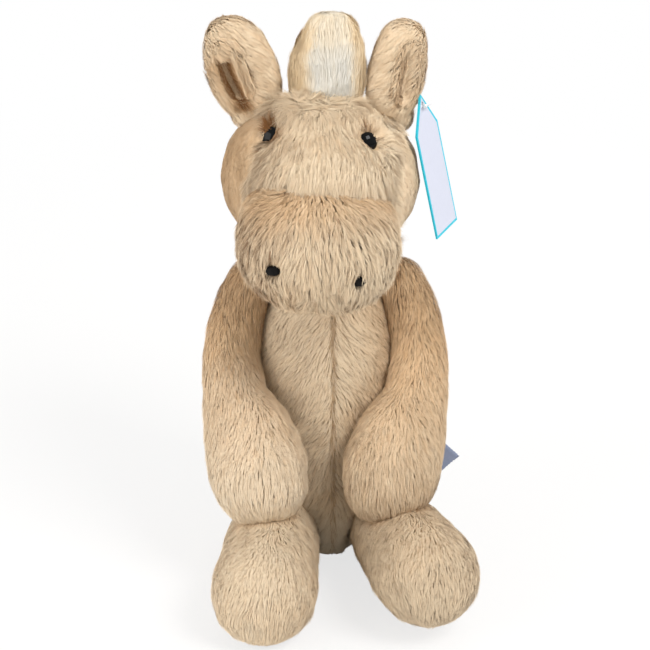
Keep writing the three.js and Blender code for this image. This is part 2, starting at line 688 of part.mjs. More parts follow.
// The scene graph: the body carries the limbs, the tail and the head, the head carries the ears
hang(toy, 'body', body, plush);
hang(toy, 'seat_pouch', pouch, canvas);
hang(toy, 'side_label', labelShape(0), satin);
const tailPivot = pivot(toy, tailRoot.x, tailRoot.y, tailRoot.z);
hang(tailPivot, 'tail', tail, cream);
const headPivot = new THREE.Group();
headPivot.applyMatrix4(headPlace);
toy.add(headPivot);
hang(headPivot, 'head', head, plush);
hang(headPivot, 'muzzle', muzzle, plush);
hang(headPivot, 'forelock', forelock, cream);
hang(headPivot, 'mane', mane, cream);
for (const [side, word] of [[1, 'left'], [-1, 'right']]) {
  const hip = hipCentre(side);
  const shoulder = shoulderCentre(side);
  hang(pivot(toy, hip.x, hip.y, hip.z), `leg_${word}`, legs.get(side), plush);
  hang(pivot(toy, shoulder.x, shoulder.y, shoulder.z), `arm_${word}`, arms.get(side), plush);
  hang(headPivot, `eye_${word}`, eyes.get(side).eye, blackGloss);
  hang(headPivot, `eye_washer_${word}`, eyes.get(side).washer, clearPlastic);
  hang(headPivot, `nostril_${word}`, nostrils.get(side), thread);
  const earPivot = new THREE.Group();
  headPivot.add(earPivot);
  earPivot.applyMatrix4(headPlace.clone().invert().multiply(ears.get(side).place));
  hang(earPivot, `ear_${word}`, ears.get(side).shell, plush);
  hang(earPivot, `ear_lining_${word}`, ears.get(side).lining, paleplush);
  if (side > 0) {
    hang(earPivot, 'tag_pin', pinShape(0), clearPlastic);
    const tagPivot = new THREE.Group();
    earPivot.add(tagPivot);
    tagPivot.applyMatrix4(ears.get(side).place.clone().invert().multiply(
      new THREE.Matrix4().makeTranslation(tagHole.x, tagHole.y, tagHole.z)));
    hang(tagPivot, 'swing_tag', tagCard, card);
  }
}

// The origin is the middle of the footprint
const footprint = new THREE.Box3().setFromObject(toy, true);
const middle = footprint.getCenter(new THREE.Vector3());
toy.position.set(-middle.x, -middle.y, 0);

export default toy;
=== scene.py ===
"""A sitting plush horse: stuffed skins under a combed pile, long tufts, eyes, seams, label and tag."""

import json
import math

import bmesh
import bpy
import numpy as np
from bpy.props import FloatProperty, FloatVectorProperty, PointerProperty
from mathutils import Matrix, Vector
from mathutils.bvhtree import BVHTree
from mathutils.kdtree import KDTree


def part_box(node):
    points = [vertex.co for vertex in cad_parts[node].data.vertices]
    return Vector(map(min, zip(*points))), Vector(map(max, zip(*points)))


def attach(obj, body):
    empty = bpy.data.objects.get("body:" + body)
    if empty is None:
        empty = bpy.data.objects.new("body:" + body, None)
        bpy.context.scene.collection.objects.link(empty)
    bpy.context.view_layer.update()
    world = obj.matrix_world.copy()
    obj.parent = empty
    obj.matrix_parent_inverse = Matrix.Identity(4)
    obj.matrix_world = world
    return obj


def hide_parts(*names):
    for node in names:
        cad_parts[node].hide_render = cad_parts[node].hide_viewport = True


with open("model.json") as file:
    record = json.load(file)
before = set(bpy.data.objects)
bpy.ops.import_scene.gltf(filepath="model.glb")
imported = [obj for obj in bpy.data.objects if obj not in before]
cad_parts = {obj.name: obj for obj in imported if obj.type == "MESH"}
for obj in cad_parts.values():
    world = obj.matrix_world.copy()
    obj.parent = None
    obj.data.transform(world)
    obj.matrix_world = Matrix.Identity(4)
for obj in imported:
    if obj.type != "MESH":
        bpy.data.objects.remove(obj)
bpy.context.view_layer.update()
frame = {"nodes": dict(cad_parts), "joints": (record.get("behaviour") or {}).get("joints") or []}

bl_info = {
    "name": "Plush Horse",
    "version": (1, 0, 0),
    "blender": (4, 5, 0),
    "location": "View3D > Sidebar > Plush Horse",
    "description": "Dresses the packed plush horse with its pile, tufts, eyes, seams, label and tag",
    "category": "Object",
}

MM = 0.001
NODES = frame["nodes"]
UP = np.array([0.0, 0.0, 1.0])


# Places read from the frame

def box_corners(node):
    """Low and high corner of a node's box, as arrays."""
    return tuple(np.array(corner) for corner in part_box(node))


def middle(node):
    """Middle of a node's box, as an array."""
    low, high = box_corners(node)
    return (low + high) / 2


def hinge(name):
    """A joint of the frame by its name."""
    return next(joint for joint in frame["joints"] if joint["name"] == name)


# Settings

def length_setting(name, description, value):
    """A length, in metres."""
    return FloatProperty(name=name, description=description, default=value, unit="LENGTH")


def colour_setting(name, description, value):
    """A colour without its alpha."""
    return FloatVectorProperty(name=name, description=description, default=value, subtype="COLOR",
                               size=3, min=0, max=1)


class PileSettings(bpy.types.PropertyGroup):
    """Lengths and spacings of the pile"""
    body_pile: length_setting("Body pile", "Length of the pile on the body and limbs", 5.5 * MM)
    face_pile: length_setting("Face pile", "Length of the pile on the bridge and muzzle", 7 * MM)
    cheek_pile: length_setting("Cheek pile", "Length of the pile on the ball of the head", 3.2 * MM)
    tuft_length: length_setting("Tuft", "Length of the hair of the forelock", 12 * MM)
    clump: length_setting("Lock spacing", "Spacing of the locks that the pile gathers in", 0.75 * MM)
    hair: length_setting("Hair width", "Width of one modelled hair at its root", 0.30 * MM)
    voxel: length_setting("Skin grain", "Spacing of the skin's mesh", 2 * MM)
    thinning: FloatProperty(name="Density", description="Share of the full number of hairs",
                            default=1, min=0.05, max=1, subtype="FACTOR")


class FinishSettings(bpy.types.PropertyGroup):
    """Colours of the pile, thread, eyes, label and card"""
    shade: colour_setting("Shade", "Colour deep between the hairs", (0.18, 0.075, 0.022))
    sand: colour_setting("Sand", "Cool colour of a hair", (0.80, 0.66, 0.475))
    gold: colour_setting("Gold", "Warm colour of a hair", (0.75, 0.49, 0.26))
    cream: colour_setting("Cream", "Colour of the forelock, mane and tail", (0.70, 0.69, 0.645))
    border: colour_setting("Card border", "Colour of the edge of the card", (0.02, 0.52, 0.68))
    card: colour_setting("Card", "Colour of the card", (0.60, 0.63, 0.75))
    satin: colour_setting("Label", "Colour of the ribbon label", (0.22, 0.26, 0.38))


class StageSettings(bpy.types.PropertyGroup):
    """Camera and lamps"""
    aim: FloatVectorProperty(
        name="Aim", description="Point that the camera looks at", subtype="TRANSLATION",
        size=3, default=(-0.00285, 0.0075, 0.118))
    elevation: FloatProperty(
        name="Elevation", description="How far the camera looks down", subtype="ANGLE",
        default=math.radians(22))
    distance: FloatProperty(
        name="Distance", description="From the camera to what it looks at", unit="LENGTH",
        default=0.8)
    focal: FloatProperty(
        name="Focal length", description="In millimetres, on a 36 mm sensor", default=96.3)
    shift: FloatProperty(name="Shift", description="Sideways shift of the frame", default=-0.009)


# Shader parts

def wired(tree, value, socket):
    """Links a socket to another one, or gives it a plain value."""
    if isinstance(value, bpy.types.NodeSocket):
        tree.links.new(value, socket)
    else:
        socket.default_value = value


def filled(tree, node, given):
    """A node with sockets or plain values for its inputs; an underline stands for a space."""
    for label, value in given.items():
        wired(tree, value, node.inputs[label.replace("_", " ")])
    return node


def placed(tree, kind, **given):
    """A shader node of a kind."""
    return filled(tree, tree.nodes.new("ShaderNode" + kind), given)


def placed_group(tree, group, **given):
    """A node group in a material, with its own values."""
    node = placed(tree, "Group")
    node.node_tree = group
    return filled(tree, node, given)


def new_group(name, inputs, outputs):
    """A shader node group, with the sockets that bring its inputs and take its outputs."""
    group = bpy.data.node_groups.new(name, "ShaderNodeTree")
    for label, kind, value in inputs:
        group.interface.new_socket(label, in_out="INPUT", socket_type=kind).default_value = value
    for label, kind in outputs:
        group.interface.new_socket(label, in_out="OUTPUT", socket_type=kind)
    return group, group.nodes.new("NodeGroupInput").outputs, group.nodes.new("NodeGroupOutput").inputs


def mixed(tree, factor, a, b):
    """A mix of two colours."""
    node = placed(tree, "Mix")
    node.data_type = "RGBA"
    for index, value in ((0, factor), (6, a), (7, b)):
        wired(tree, value, node.inputs[index])
    return node.outputs[2]


def calculated(tree, operation, a, b):
    """What a math operation makes of two numbers."""
    node = placed(tree, "Math")
    node.operation = operation
    wired(tree, a, node.inputs[0])
    wired(tree, b, node.inputs[1])
    return node.outputs[0]


def ranged(tree, value, low, high, bottom=0.0, top=1.0, kind="SMOOTHSTEP"):
    """A value brought from one range to another."""
    node = placed(tree, "MapRange", Value=value, From_Min=low, From_Max=high, To_Min=bottom, To_Max=top)
    node.interpolation_type = kind
    return node.outputs[0]


def switched(tree, share, first, second, output):
    """Two shaders mixed by a share, as what a tree puts out."""
    blend = placed(tree, "MixShader")
    for source, socket in zip((share, first, second), blend.inputs):
        tree.links.new(source, socket)
    tree.links.new(blend.outputs[0], tree.nodes[output].inputs["Surface"])


def pile_colour_group():
    """Colour of a hair from its warmth and its brightness, dark at the root and pale at the tip: low
    brightness mixes in the shade colour, which paints shade deep in the pile and in shaded places, and
    high brightness the pale tip colour.
    """
    number, colour = "NodeSocketFloat", "NodeSocketColor"
    group, given, taken = new_group(
        "Pile colour",
        [("Warmth", number, 0.3), ("Brightness", number, 0.7), ("Shade", colour, (0.2, 0.1, 0.05, 1)),
         ("Cool", colour, (0.8, 0.6, 0.4, 1)), ("Warm", colour, (0.8, 0.5, 0.25, 1)),
         ("Tip", colour, (1, 0.95, 0.85, 1))],
        [("Color", colour)])
    full, most_tip = 0.62, 0.45
    body = mixed(group, given["Warmth"], given["Cool"], given["Warm"])
    low = mixed(group, ranged(group, given["Brightness"], 0.0, full), given["Shade"], body)
    shine = ranged(group, given["Brightness"], full, 1.0, top=most_tip, kind="LINEAR")
    group.links.new(mixed(group, shine, low, given["Tip"]), taken["Color"])
    return group


def grain_group():
    """Fine noise for cloth, card and thread, as a colour factor and a height."""
    number = "NodeSocketFloat"
    group, given, taken = new_group(
        "Fine grain", [("Scale", number, 900.0), ("Contrast", number, 0.2)],
        [("Factor", number), ("Height", number)])
    noise = placed(group, "TexNoise", Detail=3, Scale=given["Scale"],
                   Vector=placed(group, "TexCoord").outputs["Object"])
    spread = calculated(group, "MULTIPLY", calculated(group, "SUBTRACT", noise.outputs["Fac"], 0.5),
                        given["Contrast"])
    group.links.new(calculated(group, "ADD", spread, 1.0), taken["Factor"])
    group.links.new(noise.outputs["Fac"], taken["Height"])
    return group


def new_material(name, roughness, specular=0.5, **given):
    """A material, its node tree and its Principled BSDF."""
    material = bpy.data.materials.new(name)
    material.use_nodes = True
    tree = material.node_tree
    values = {"Roughness": roughness, "Specular_IOR_Level": specular, **given}
    return material, tree, filled(tree, tree.nodes["Principled BSDF"], values)


def pile_material(name, group, cool, warm, shade, tip=(0.93, 0.84, 0.69)):
    """Hair colour from the palette that the hair's own map points into."""
    _, tree, shader = new_material(name, 0.78, 0.25)
    uv = placed(tree, "UVMap")
    uv.uv_map = "OFBake"
    parts = placed(tree, "SeparateXYZ", Vector=uv.outputs["UV"]).outputs
    colour = placed_group(tree, group, Warmth=parts["X"], Brightness=parts["Y"], Shade=(*shade, 1),
                          Cool=(*cool, 1), Warm=(*warm, 1), Tip=(*tip, 1))
    filled(tree, shader, {"Base Color": colour.outputs["Color"]})


def cloth_material(name, grain, colour, roughness, scale, contrast, bump):
    """A plain finish with fine grain in its colour and its relief."""
    _, tree, shader = new_material(name, roughness, 0.3)
    fine = placed_group(tree, grain, Scale=scale, Contrast=contrast).outputs
    tint = placed(tree, "VectorMath", Vector=colour)
    tint.operation = "SCALE"
    filled(tree, tint, {"Scale": fine["Factor"]})
    relief = placed(tree, "Bump", Strength=bump, Distance=0.2 * MM, Height=fine["Height"])
    filled(tree, shader, {"Base Color": tint.outputs[0], "Normal": relief.outputs["Normal"]})


def finishes():
    """Every material of the toy, made once."""
    made = bpy.data.materials
    if "plush pile" in made:
        return made
    colours = bpy.context.scene.horse_finish
    pile, grain = pile_colour_group(), grain_group()
    pile_material("plush pile", pile, colours.sand, colours.gold, colours.shade)
    pile_material("cream pile", pile, colours.cream, (0.88, 0.69, 0.43), (0.40, 0.29, 0.18),
                  (1.0, 0.94, 0.80))
    # name, colour, roughness, fineness of the grain, its contrast, its relief
    for name, colour, *feel in (
            ("plush backing", (0.58, 0.42, 0.26), 0.95, 1200, 0.3, 0.25),
            ("cream backing", (0.55, 0.45, 0.34), 0.95, 1200, 0.4, 0.25),
            ("pouch cotton", (0.74, 0.68, 0.56), 0.9, 1500, 0.3, 0.25),
            ("black thread", (0.004, 0.003, 0.003), 0.75, 2500, 0.6, 0.25),
            ("washer plastic", (0.72, 0.72, 0.70), 0.4, 300, 0.05, 0.02),
            ("card border", colours.border, 0.42, 500, 0.06, 0.03),
            ("card face", colours.card, 0.42, 500, 0.06, 0.03),
            ("satin ribbon", colours.satin, 0.42, 1800, 0.25, 0.3)):
        cloth_material(name, grain, colour, *feel)
    new_material("eye gloss", 0.06, 0.12, Base_Color=(0.002, 0.002, 0.002, 1))
    new_material("clear filament", 0.25, Base_Color=(0.86, 0.88, 0.90, 1), Transmission_Weight=0.35)
    return made


# Mesh helpers

def shown(name, data):
    """A new object in the scene."""
    piece = bpy.data.objects.new(name, data)
    bpy.context.scene.collection.objects.link(piece)
    return piece


def finished(bm, name, smooth=True):
    """A bmesh as a new shown object."""
    mesh = bpy.data.meshes.new(name)
    bm.to_mesh(mesh)
    bm.free()
    if smooth:
        mesh.shade_smooth()
    return shown(name, mesh)


def applied(piece):
    """The piece with its modifiers made its mesh."""
    graph = bpy.context.evaluated_depsgraph_get()
    mesh = bpy.data.meshes.new_from_object(piece.evaluated_get(graph))
    piece.modifiers.clear()
    old = piece.data
    piece.data = mesh
    mesh.name = piece.name
    bpy.data.meshes.remove(old)
    return piece


def stuffed_skin(name, node, voxel, rounds, swell):
    """A smooth stuffed skin in the space of a soft node, resting on the floor."""
    bm = bmesh.new()
    bm.from_mesh(NODES[node].data)
    bmesh.ops.remove_doubles(bm, verts=bm.verts, dist=0.002 * MM)
    piece = finished(bm, name)
    remesh = piece.modifiers.new("Even mesh", "REMESH")
    remesh.mode = "VOXEL"
    remesh.voxel_size = voxel
    smooth = piece.modifiers.new("Round", "SMOOTH")
    smooth.factor = 0.5
    smooth.iterations = rounds
    applied(piece)
    bm = bmesh.new()
    bm.from_mesh(piece.data)
    bm.normal_update()
    for vert in bm.verts:
        vert.co += vert.normal * swell
        vert.co.z = max(vert.co.z, 0.02 * MM)
    bm.to_mesh(piece.data)
    bm.free()
    piece.data.shade_smooth()
    return piece


def dressed(piece, body, slot, *materials):
    """Gives a piece its body and its materials; the slot is not used."""
    for material in materials:
        piece.data.materials.append(finishes()[material])
    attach(piece, body)
    return piece


def repainted(node, material):
    """Gives a shown node of the pack its material."""
    NODES[node].data.materials.clear()
    NODES[node].data.materials.append(finishes()[material])


# Pile

LEAST_RISE = 0.15 * MM          # of a hair over its skin
FLOOR_GAP = 0.25 * MM           # of a hair over the floor
ROOT_DEPTH = 0.6 * MM           # of a root in its skin
LEAST_BEND = 0.6 * MM           # of the middle of a hair over its skin
GAP_DEPTH = 12 * MM             # before and behind an opening


def unit(rows):
    """Rows scaled to length one."""
    return rows / np.maximum(np.linalg.norm(rows, axis=1, keepdims=True), 1e-12)


def along(rows, normals):
    """Rows with their part along the normals taken out."""
    return rows - normals * np.sum(rows * normals, axis=1, keepdims=True)


def swirl(points, size, seed):
    """A smooth random value from about -1 to 1 at each point."""
    rng = np.random.default_rng(seed)
    total = np.zeros(len(points))
    for _ in range(5):
        wave = rng.normal(size=3)
        wave *= rng.uniform(0.6, 1.6) / np.linalg.norm(wave)
        total += np.sin(points @ wave * (2 * math.pi / size) + rng.uniform(0, 2 * math.pi))
    return total / 2.6


def smoothstep(values, low, high):
    """Zero below low, one above high, and smooth between."""
    t = np.clip((values - low) / (high - low), 0, 1)
    return t * t * (3 - 2 * t)


def ramp(lengths, low, high):
    """Zero below one length and one above another, both in mm."""
    return smoothstep(lengths, low * MM, high * MM)


def climb(points, edge, low, high):
    """Zero below one height and one above another, both in mm over an edge."""
    return smoothstep(points[:, 2], edge + low * MM, edge + high * MM)


def ways(points, x, y, z):
    """A direction at each point, from plain numbers or one number for each point."""
    return np.stack([part + np.zeros(len(points)) for part in (x, y, z)], axis=1)


def even(value):
    """The same value at every root."""
    return lambda points, facing: np.full(len(points), value)


def surfaces(*meshes):
    """The faces of some meshes, for finding the nearest place on them."""
    verts, faces = [], []
    for mesh in meshes:
        start = len(verts)
        verts += [v.co for v in mesh.vertices]
        faces += [[start + corner for corner in p.vertices] for p in mesh.polygons]
    return BVHTree.FromPolygons(verts, faces)


def clearance(skin, left_out):
    """Distance from each vertex of a skin to the nearest solid, up to a reach."""
    reach = 9 * MM
    co = [v.co for v in skin.data.vertices]
    nearest = np.full(len(co), reach)
    inner = {"seat_pouch", "eye_washer_left", "eye_washer_right", "tag_pin", "swing_tag", "side_label",
             "nostril_left", "nostril_right", "eye_left", "eye_right"}
    for name, node in NODES.items():
        if name in left_out or name in inner:
            continue
        tree = surfaces(node.data)
        low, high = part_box(name)
        for index, point in enumerate(co):
            if all(low[a] - reach < point[a] < high[a] + reach for a in range(3)):
                hit = tree.find_nearest(point, nearest[index])
                if hit[0] is not None:
                    nearest[index] = hit[3]
    return nearest


def beside(points, node, reach):
    """One at a node's surface, falling to zero at a reach from it."""
    tree = surfaces(NODES[node].data)
    far = np.full(len(points), reach)
    for index, point in enumerate(points):
        distance = tree.find_nearest(point, reach)[3]
        if distance is not None:
            far[index] = distance
    return 1 - smoothstep(far, 0, reach)


def rows_of(items, name, width, kind=np.float32):
    """One property of some mesh elements, as an array with a row for each."""
    values = np.zeros(len(items) * width, kind)
    items.foreach_get(name, values)
    return values.reshape(-1, width)


def sampled(skin, own, kin, count, seed, wanted=None):
    """Roots spread over a skin: points, normals, clearances, and the area that they cover.

    Solids in kin, which stay where they are on the skin, keep the roots off them but don't shorten the
    hair. Any other solid shortens it, and leaves it growing where the two only rest on each other."""
    mesh = skin.data
    mesh.calc_loop_triangles()
    tris = rows_of(mesh.loop_triangles, "vertices", 3, np.int32)
    co = rows_of(mesh.vertices, "co", 3).astype(float)
    normals = rows_of(mesh.vertex_normals, "vector", 3).astype(float)
    free = clearance(skin, own | kin)
    corners = co[tris]
    first = corners[:, 0]
    area = np.linalg.norm(np.cross(corners[:, 1] - first, corners[:, 2] - first), axis=1) / 2
    weight = area
    if kin:
        fixed = clearance(skin, set(NODES) - kin)
        weight = area * ramp(fixed[tris].mean(axis=1), 0.5, 1.2)
    if wanted is not None:
        weight *= wanted(corners.mean(axis=1), unit(normals[tris].mean(axis=1)))
    rng = np.random.default_rng(seed)
    total = np.cumsum(weight)
    picks = np.searchsorted(total, (np.arange(count) + rng.random(count)) / count * total[-1] * 0.999999)
    a, b = rng.random(count), rng.random(count)
    over = a + b > 1
    a[over], b[over] = 1 - a[over], 1 - b[over]
    shares = np.stack([1 - a - b, a, b], axis=1)[:, :, None]
    points = np.sum(corners[picks] * shares, axis=1)
    facing = unit(np.sum(normals[tris][picks] * shares, axis=1))
    spare = np.sum(free[tris][picks] * shares[:, :, 0], axis=1)
    return points, facing, spare, float(np.sum(weight))


def blades(name, roots, bends, tips, widths, facing, normals, warmth, brightness):
    """One mesh of tapered hairs. bends holds the points between root and tip, one array each."""
    count = len(roots)
    rows = [roots, *bends]
    verts = []
    for step, row in enumerate(rows):
        onward = unit((rows + [tips])[step + 1] - row)
        side = unit(np.cross(onward, facing))
        half = widths[:, None] * 0.5 * (1.0 - 0.28 * step / len(rows))
        verts += [row - side * half, row + side * half]
    verts.append(tips)
    per = len(verts)
    co = np.stack(verts, axis=1).reshape(-1, 3)
    pattern = [2 * step + corner for step in range(len(bends)) for corner in (0, 1, 3, 2)]
    pattern += [per - 3, per - 2, per - 1]
    loops = (np.arange(count)[:, None] * per + np.array(pattern)).ravel()
    sizes = np.tile([4] * len(bends) + [3], count)
    mesh = bpy.data.meshes.new(name)
    mesh.vertices.add(len(co))
    mesh.vertices.foreach_set("co", co.astype(np.float32).ravel())
    mesh.loops.add(len(loops))
    mesh.loops.foreach_set("vertex_index", loops.astype(np.int32))
    mesh.polygons.add(len(sizes))
    mesh.polygons.foreach_set("loop_start", (np.cumsum(sizes) - sizes).astype(np.int32))
    mesh.update(calc_edges=True)
    mesh.shade_smooth()
    spread = 0.004
    uv = np.zeros((count, per, 2), np.float32)
    for step, level in enumerate(np.linspace(0, 1, len(rows) + 1)[:-1]):
        uv[:, 2 * step, 0] = warmth - spread
        uv[:, 2 * step + 1, 0] = warmth + spread
        uv[:, 2 * step:2 * step + 2, 1] = brightness(level)[:, None]
    uv[:, -1, 0] = warmth
    uv[:, -1, 1] = brightness(1.0)
    layer = mesh.uv_layers.new(name="OFBake")
    layer.data.foreach_set("uv", np.clip(uv.reshape(-1, 2), 0.01, 0.99)[loops].ravel())
    mesh.normals_split_custom_set_from_vertices(np.repeat(normals, per, axis=0))
    return shown(name, mesh)


def hugged(points, skin_tree, top):
    """Points brought down to at most a height over a skin, and up to its surface."""
    held = np.empty_like(points)
    for index, point in enumerate(points):
        place, normal, _, _ = skin_tree.find_nearest(point)
        height = (Vector(point) - place).dot(normal)
        held[index] = place + normal * min(max(height, LEAST_RISE), top[index])
    return held


def over_domes(points, domes):
    """Points inside the dome of an eye lifted to lie over it. A dome is a place, a way, a radius and
    a height."""
    for place, look, radius, height in domes:
        off = points - place
        rise = off @ look
        out = np.linalg.norm(off - rise[:, None] * look, axis=1)
        need = height * np.sqrt(np.clip(1 - (out / radius) ** 2, 0, 1)) + 0.35 * MM
        lift = np.where((out < radius * 1.05) & (rise > -3 * MM) & (rise < need), need - rise, 0)
        points = points + lift[:, None] * look
    return points


def in_locks(roots, way, chosen, stretch):
    """Index of the lock that each root falls in: narrow across the comb, and longer along it."""
    tree = KDTree(len(chosen))
    for index, pick in enumerate(chosen):
        tree.insert(roots[pick], index)
    tree.balance()
    near = min(14, len(chosen))
    found = np.array([[hit[1] for hit in tree.find_n(point, near)] for point in roots])
    off = roots[:, None] - roots[chosen][found]
    onward = np.sum(off * way[:, None], axis=2)
    apart = np.sum(off * off, axis=2) - onward ** 2 * (1 - 1 / stretch ** 2)
    return found[np.arange(len(roots)), np.argmin(apart, axis=1)]


def lay_pile(body, name, skin, own, count, seed, comb, length, lift, warm, tone, wanted=None,
             kin=frozenset(), gather=0.2, clump=None, stretch=4.0, width=None, segments=1, openings=(),
             domes=(), contrast=0.4, root_shade=0.16, stray=1.08, slits=0.02, roll=0.12, across_to=(),
             look=("plush", "plush pile")):
    """Hair combed over a skin and gathered in long narrow locks, riding a body.

    comb, length, lift, warm and tone take roots and normals and give each hair's way, length,
    angle, warmth and brightness. openings holds ovals that no hair crosses: a middle, the way it
    faces, its long way and its two half sizes. look holds the slot and the material."""
    settings = bpy.context.scene.horse_pile
    skin = bpy.data.objects[skin]
    clump = clump or settings.clump
    width = width or settings.hair
    count = int(count * settings.thinning)
    width = width / math.sqrt(settings.thinning)
    rng = np.random.default_rng(seed)
    roots, facing, room, area = sampled(skin, own, kin, count, seed, wanted)
    locks = max(int(area / (clump ** 2 * stretch)), 8)
    chosen = rng.choice(count, size=min(locks, count), replace=False)
    way = unit(along(comb(roots, facing), facing))
    owner = in_locks(roots, way, chosen, stretch)

    def by_lock(spread):
        return rng.normal(0, spread, len(chosen))[owner]

    turn = 0.24 * swirl(roots, 22 * MM, seed + 1) + by_lock(0.16 * contrast)
    turn += rng.normal(0, 0.08, count)
    across = np.cross(facing, way)
    way = way * np.cos(turn)[:, None] + across * np.sin(turn)[:, None]
    across = np.cross(facing, way)
    reach = length(roots, facing) * (1 + by_lock(0.12 * contrast))
    reach *= rng.uniform(0.84, 1.06, count)
    reach *= 0.30 + 0.70 * ramp(room, 0.6, 5)
    reach *= 0.45 + 0.55 * climb(roots, 0, 1, 14)
    rise = lift(roots, facing) * (1 + by_lock(0.2 * contrast))
    rise *= rng.uniform(0.85, 1.15, count)
    rise = np.clip(rise * (1 + 0.22 * swirl(roots, 11 * MM, seed + 2)), 0.08, 1.35)
    lean = np.minimum(rise + 0.55, 1.45)

    def heading(angle):
        return way * np.cos(angle)[:, None] + facing * np.sin(angle)[:, None]

    aside = np.sum((roots - roots[chosen[owner]]) * across, axis=1)
    pull = across * (aside * gather)[:, None]
    tips = roots + heading(rise) * reach[:, None] - pull
    if segments == 1:
        bends = [roots + heading(lean) * reach[:, None] * 0.42 - pull * 0.4]
    else:
        bends = []
        for share in (0.30, 0.65):
            angle = lean + (rise - lean) * share
            bends.append(roots + heading(angle) * reach[:, None] * share - pull * share)
    skin_tree = surfaces(skin.data, *(bpy.data.objects[other].data for other in across_to))
    top = reach * np.sin(rise) * rng.uniform(0.88, stray, count)
    tips = over_domes(hugged(tips, skin_tree, top), domes)
    bends[-1] = over_domes(hugged(bends[-1], skin_tree, np.maximum(top, LEAST_BEND)), domes)
    for points in (*bends, tips):
        points[:, 2] = np.maximum(points[:, 2], FLOOR_GAP)
    keep = np.ones(count, bool)
    for centre, ahead, long_way, half_long, half_wide in openings:
        wide_way = np.cross(ahead, long_way)
        for points in (roots, bends[-1], tips, (bends[-1] + tips) / 2, (roots + bends[0]) / 2):
            spread = points - centre
            inside = (spread @ long_way / half_long) ** 2 + (spread @ wide_way / half_wide) ** 2
            keep &= (inside > 1) | (np.abs(spread @ ahead) > GAP_DEPTH)
    # painted shade: hair darker at the two edges of each lock, where the locks part
    edge = np.clip(np.abs(aside) / (clump * 0.62), 0, 1)
    # painted shade: hair darker and warmer where another solid comes close
    contact_shade = 1 - ramp(room, 0.5, 6)
    value = tone(roots, facing) + by_lock(0.07 * contrast)
    value += rng.normal(0, 1, count) * (0.012 + 0.04 * contrast) - 0.12 * contrast * edge ** 2
    value -= 0.07 * contact_shade + 0.15 * (rng.random(len(chosen)) < slits)[owner]
    value += 0.03 * swirl(roots, 12 * MM, seed + 3)
    hue = np.clip(warm(roots, facing) + by_lock(0.06) + 0.30 * contact_shade, 0.03, 0.97)
    tilt = aside / clump * 0.5 * contrast + 0.13 * swirl(roots, 7 * MM, seed + 4)
    dip = 0.10 + 0.08 * swirl(roots, 9 * MM, seed + 5)
    swell = unit(facing + across * tilt[:, None] + way * dip[:, None])
    swell, hue, value = swell[keep], hue[keep], value[keep]

    # painted shade: each hair darker towards its root, deep in the pile, and a little paler at its tip
    def brightness(level):
        return value * (1 - root_shade + root_shade * smoothstep(level, 0.0, 0.7)) + 0.04 * level

    buried = roots - facing * ROOT_DEPTH
    buried[:, 2] = np.maximum(buried[:, 2], 0.05 * MM)
    side = rng.normal(0, roll, count)
    tilt = unit(facing * np.cos(side)[:, None] + np.cross(way, facing) * np.sin(side)[:, None])
    widths = width * rng.uniform(0.75, 1.2, count)
    piece = blades(name, buried[keep], [b[keep] for b in bends], tips[keep], widths[keep], tilt[keep],
                   swell, hue, brightness)
    return dressed(piece, body, *look)


# Places on the head

HEAD_LOW, HEAD_HIGH = box_corners("head")
BALL_HALF = np.array([45, 39, 38.5]) * MM
BALL = HEAD_HIGH - BALL_HALF
BALL[0] = (HEAD_LOW[0] + HEAD_HIGH[0]) / 2
MUZZLE = middle("muzzle")
MUZZLE_LOW, MUZZLE_HIGH = box_corners("muzzle")
SIDES = {"left": 1.0, "right": -1.0}
BELLY_SEAM = middle("body")[0] + 1.5 * MM
DOME = 2.9 * MM                 # height of an eye over its seat
RIM = 4.5                       # radius of an eye, in mm
TIP_RISE = 3.9                  # of an eye's tip over its seat in the CAD, in mm


def eye_place(side):
    """Seat of an eye, and the way it looks, from the washer behind it."""
    washer = middle(f"eye_washer_{side}")
    points = np.array([v.co for v in NODES[f"eye_{side}"].data.vertices])
    tip = points[np.argmax(np.linalg.norm(points - washer, axis=1))]
    look = (tip - washer) / np.linalg.norm(tip - washer)
    return tip - look * TIP_RISE * MM, look


EYES = {side: eye_place(side) for side in SIDES}
NOSTRILS = {side: middle(f"nostril_{side}") for side in SIDES}


def oval(centre, look, degrees, half_long, half_wide):
    """An opening whose long way is turned from upright, clockwise from the front. Its half sizes are
    given in mm."""
    angle = math.radians(degrees)
    look = look / np.linalg.norm(look)
    side = np.cross(look, UP)
    side /= np.linalg.norm(side)
    high = np.cross(side, look)
    return centre, look, high * math.cos(angle) - side * math.sin(angle), half_long * MM, half_wide * MM


def face_place(points):
    """Across the face from -1 to 1 at its two edges; the face leans and narrows upwards."""
    high = climb(points, BALL[2], 2, 24)
    centre = MUZZLE[0] + 1.0 * MM + 4.5 * MM * high
    return (points[:, 0] - centre) / (31 * MM - 3 * MM * high)


def face_share(points, facing):
    """One on the long pile of the face, zero on the sheared ball behind it."""
    inside = 1 - smoothstep(np.abs(face_place(points)), 0.96, 1.04)
    return inside * ramp(-(points[:, 1] - BALL[1]), 2, 8)


def crest(points):
    """One on the brow in front of the forelock, where the pile stands up."""
    return ramp(-points[:, 1], -26, -10) * climb(points, HEAD_HIGH[2], -6, -1)


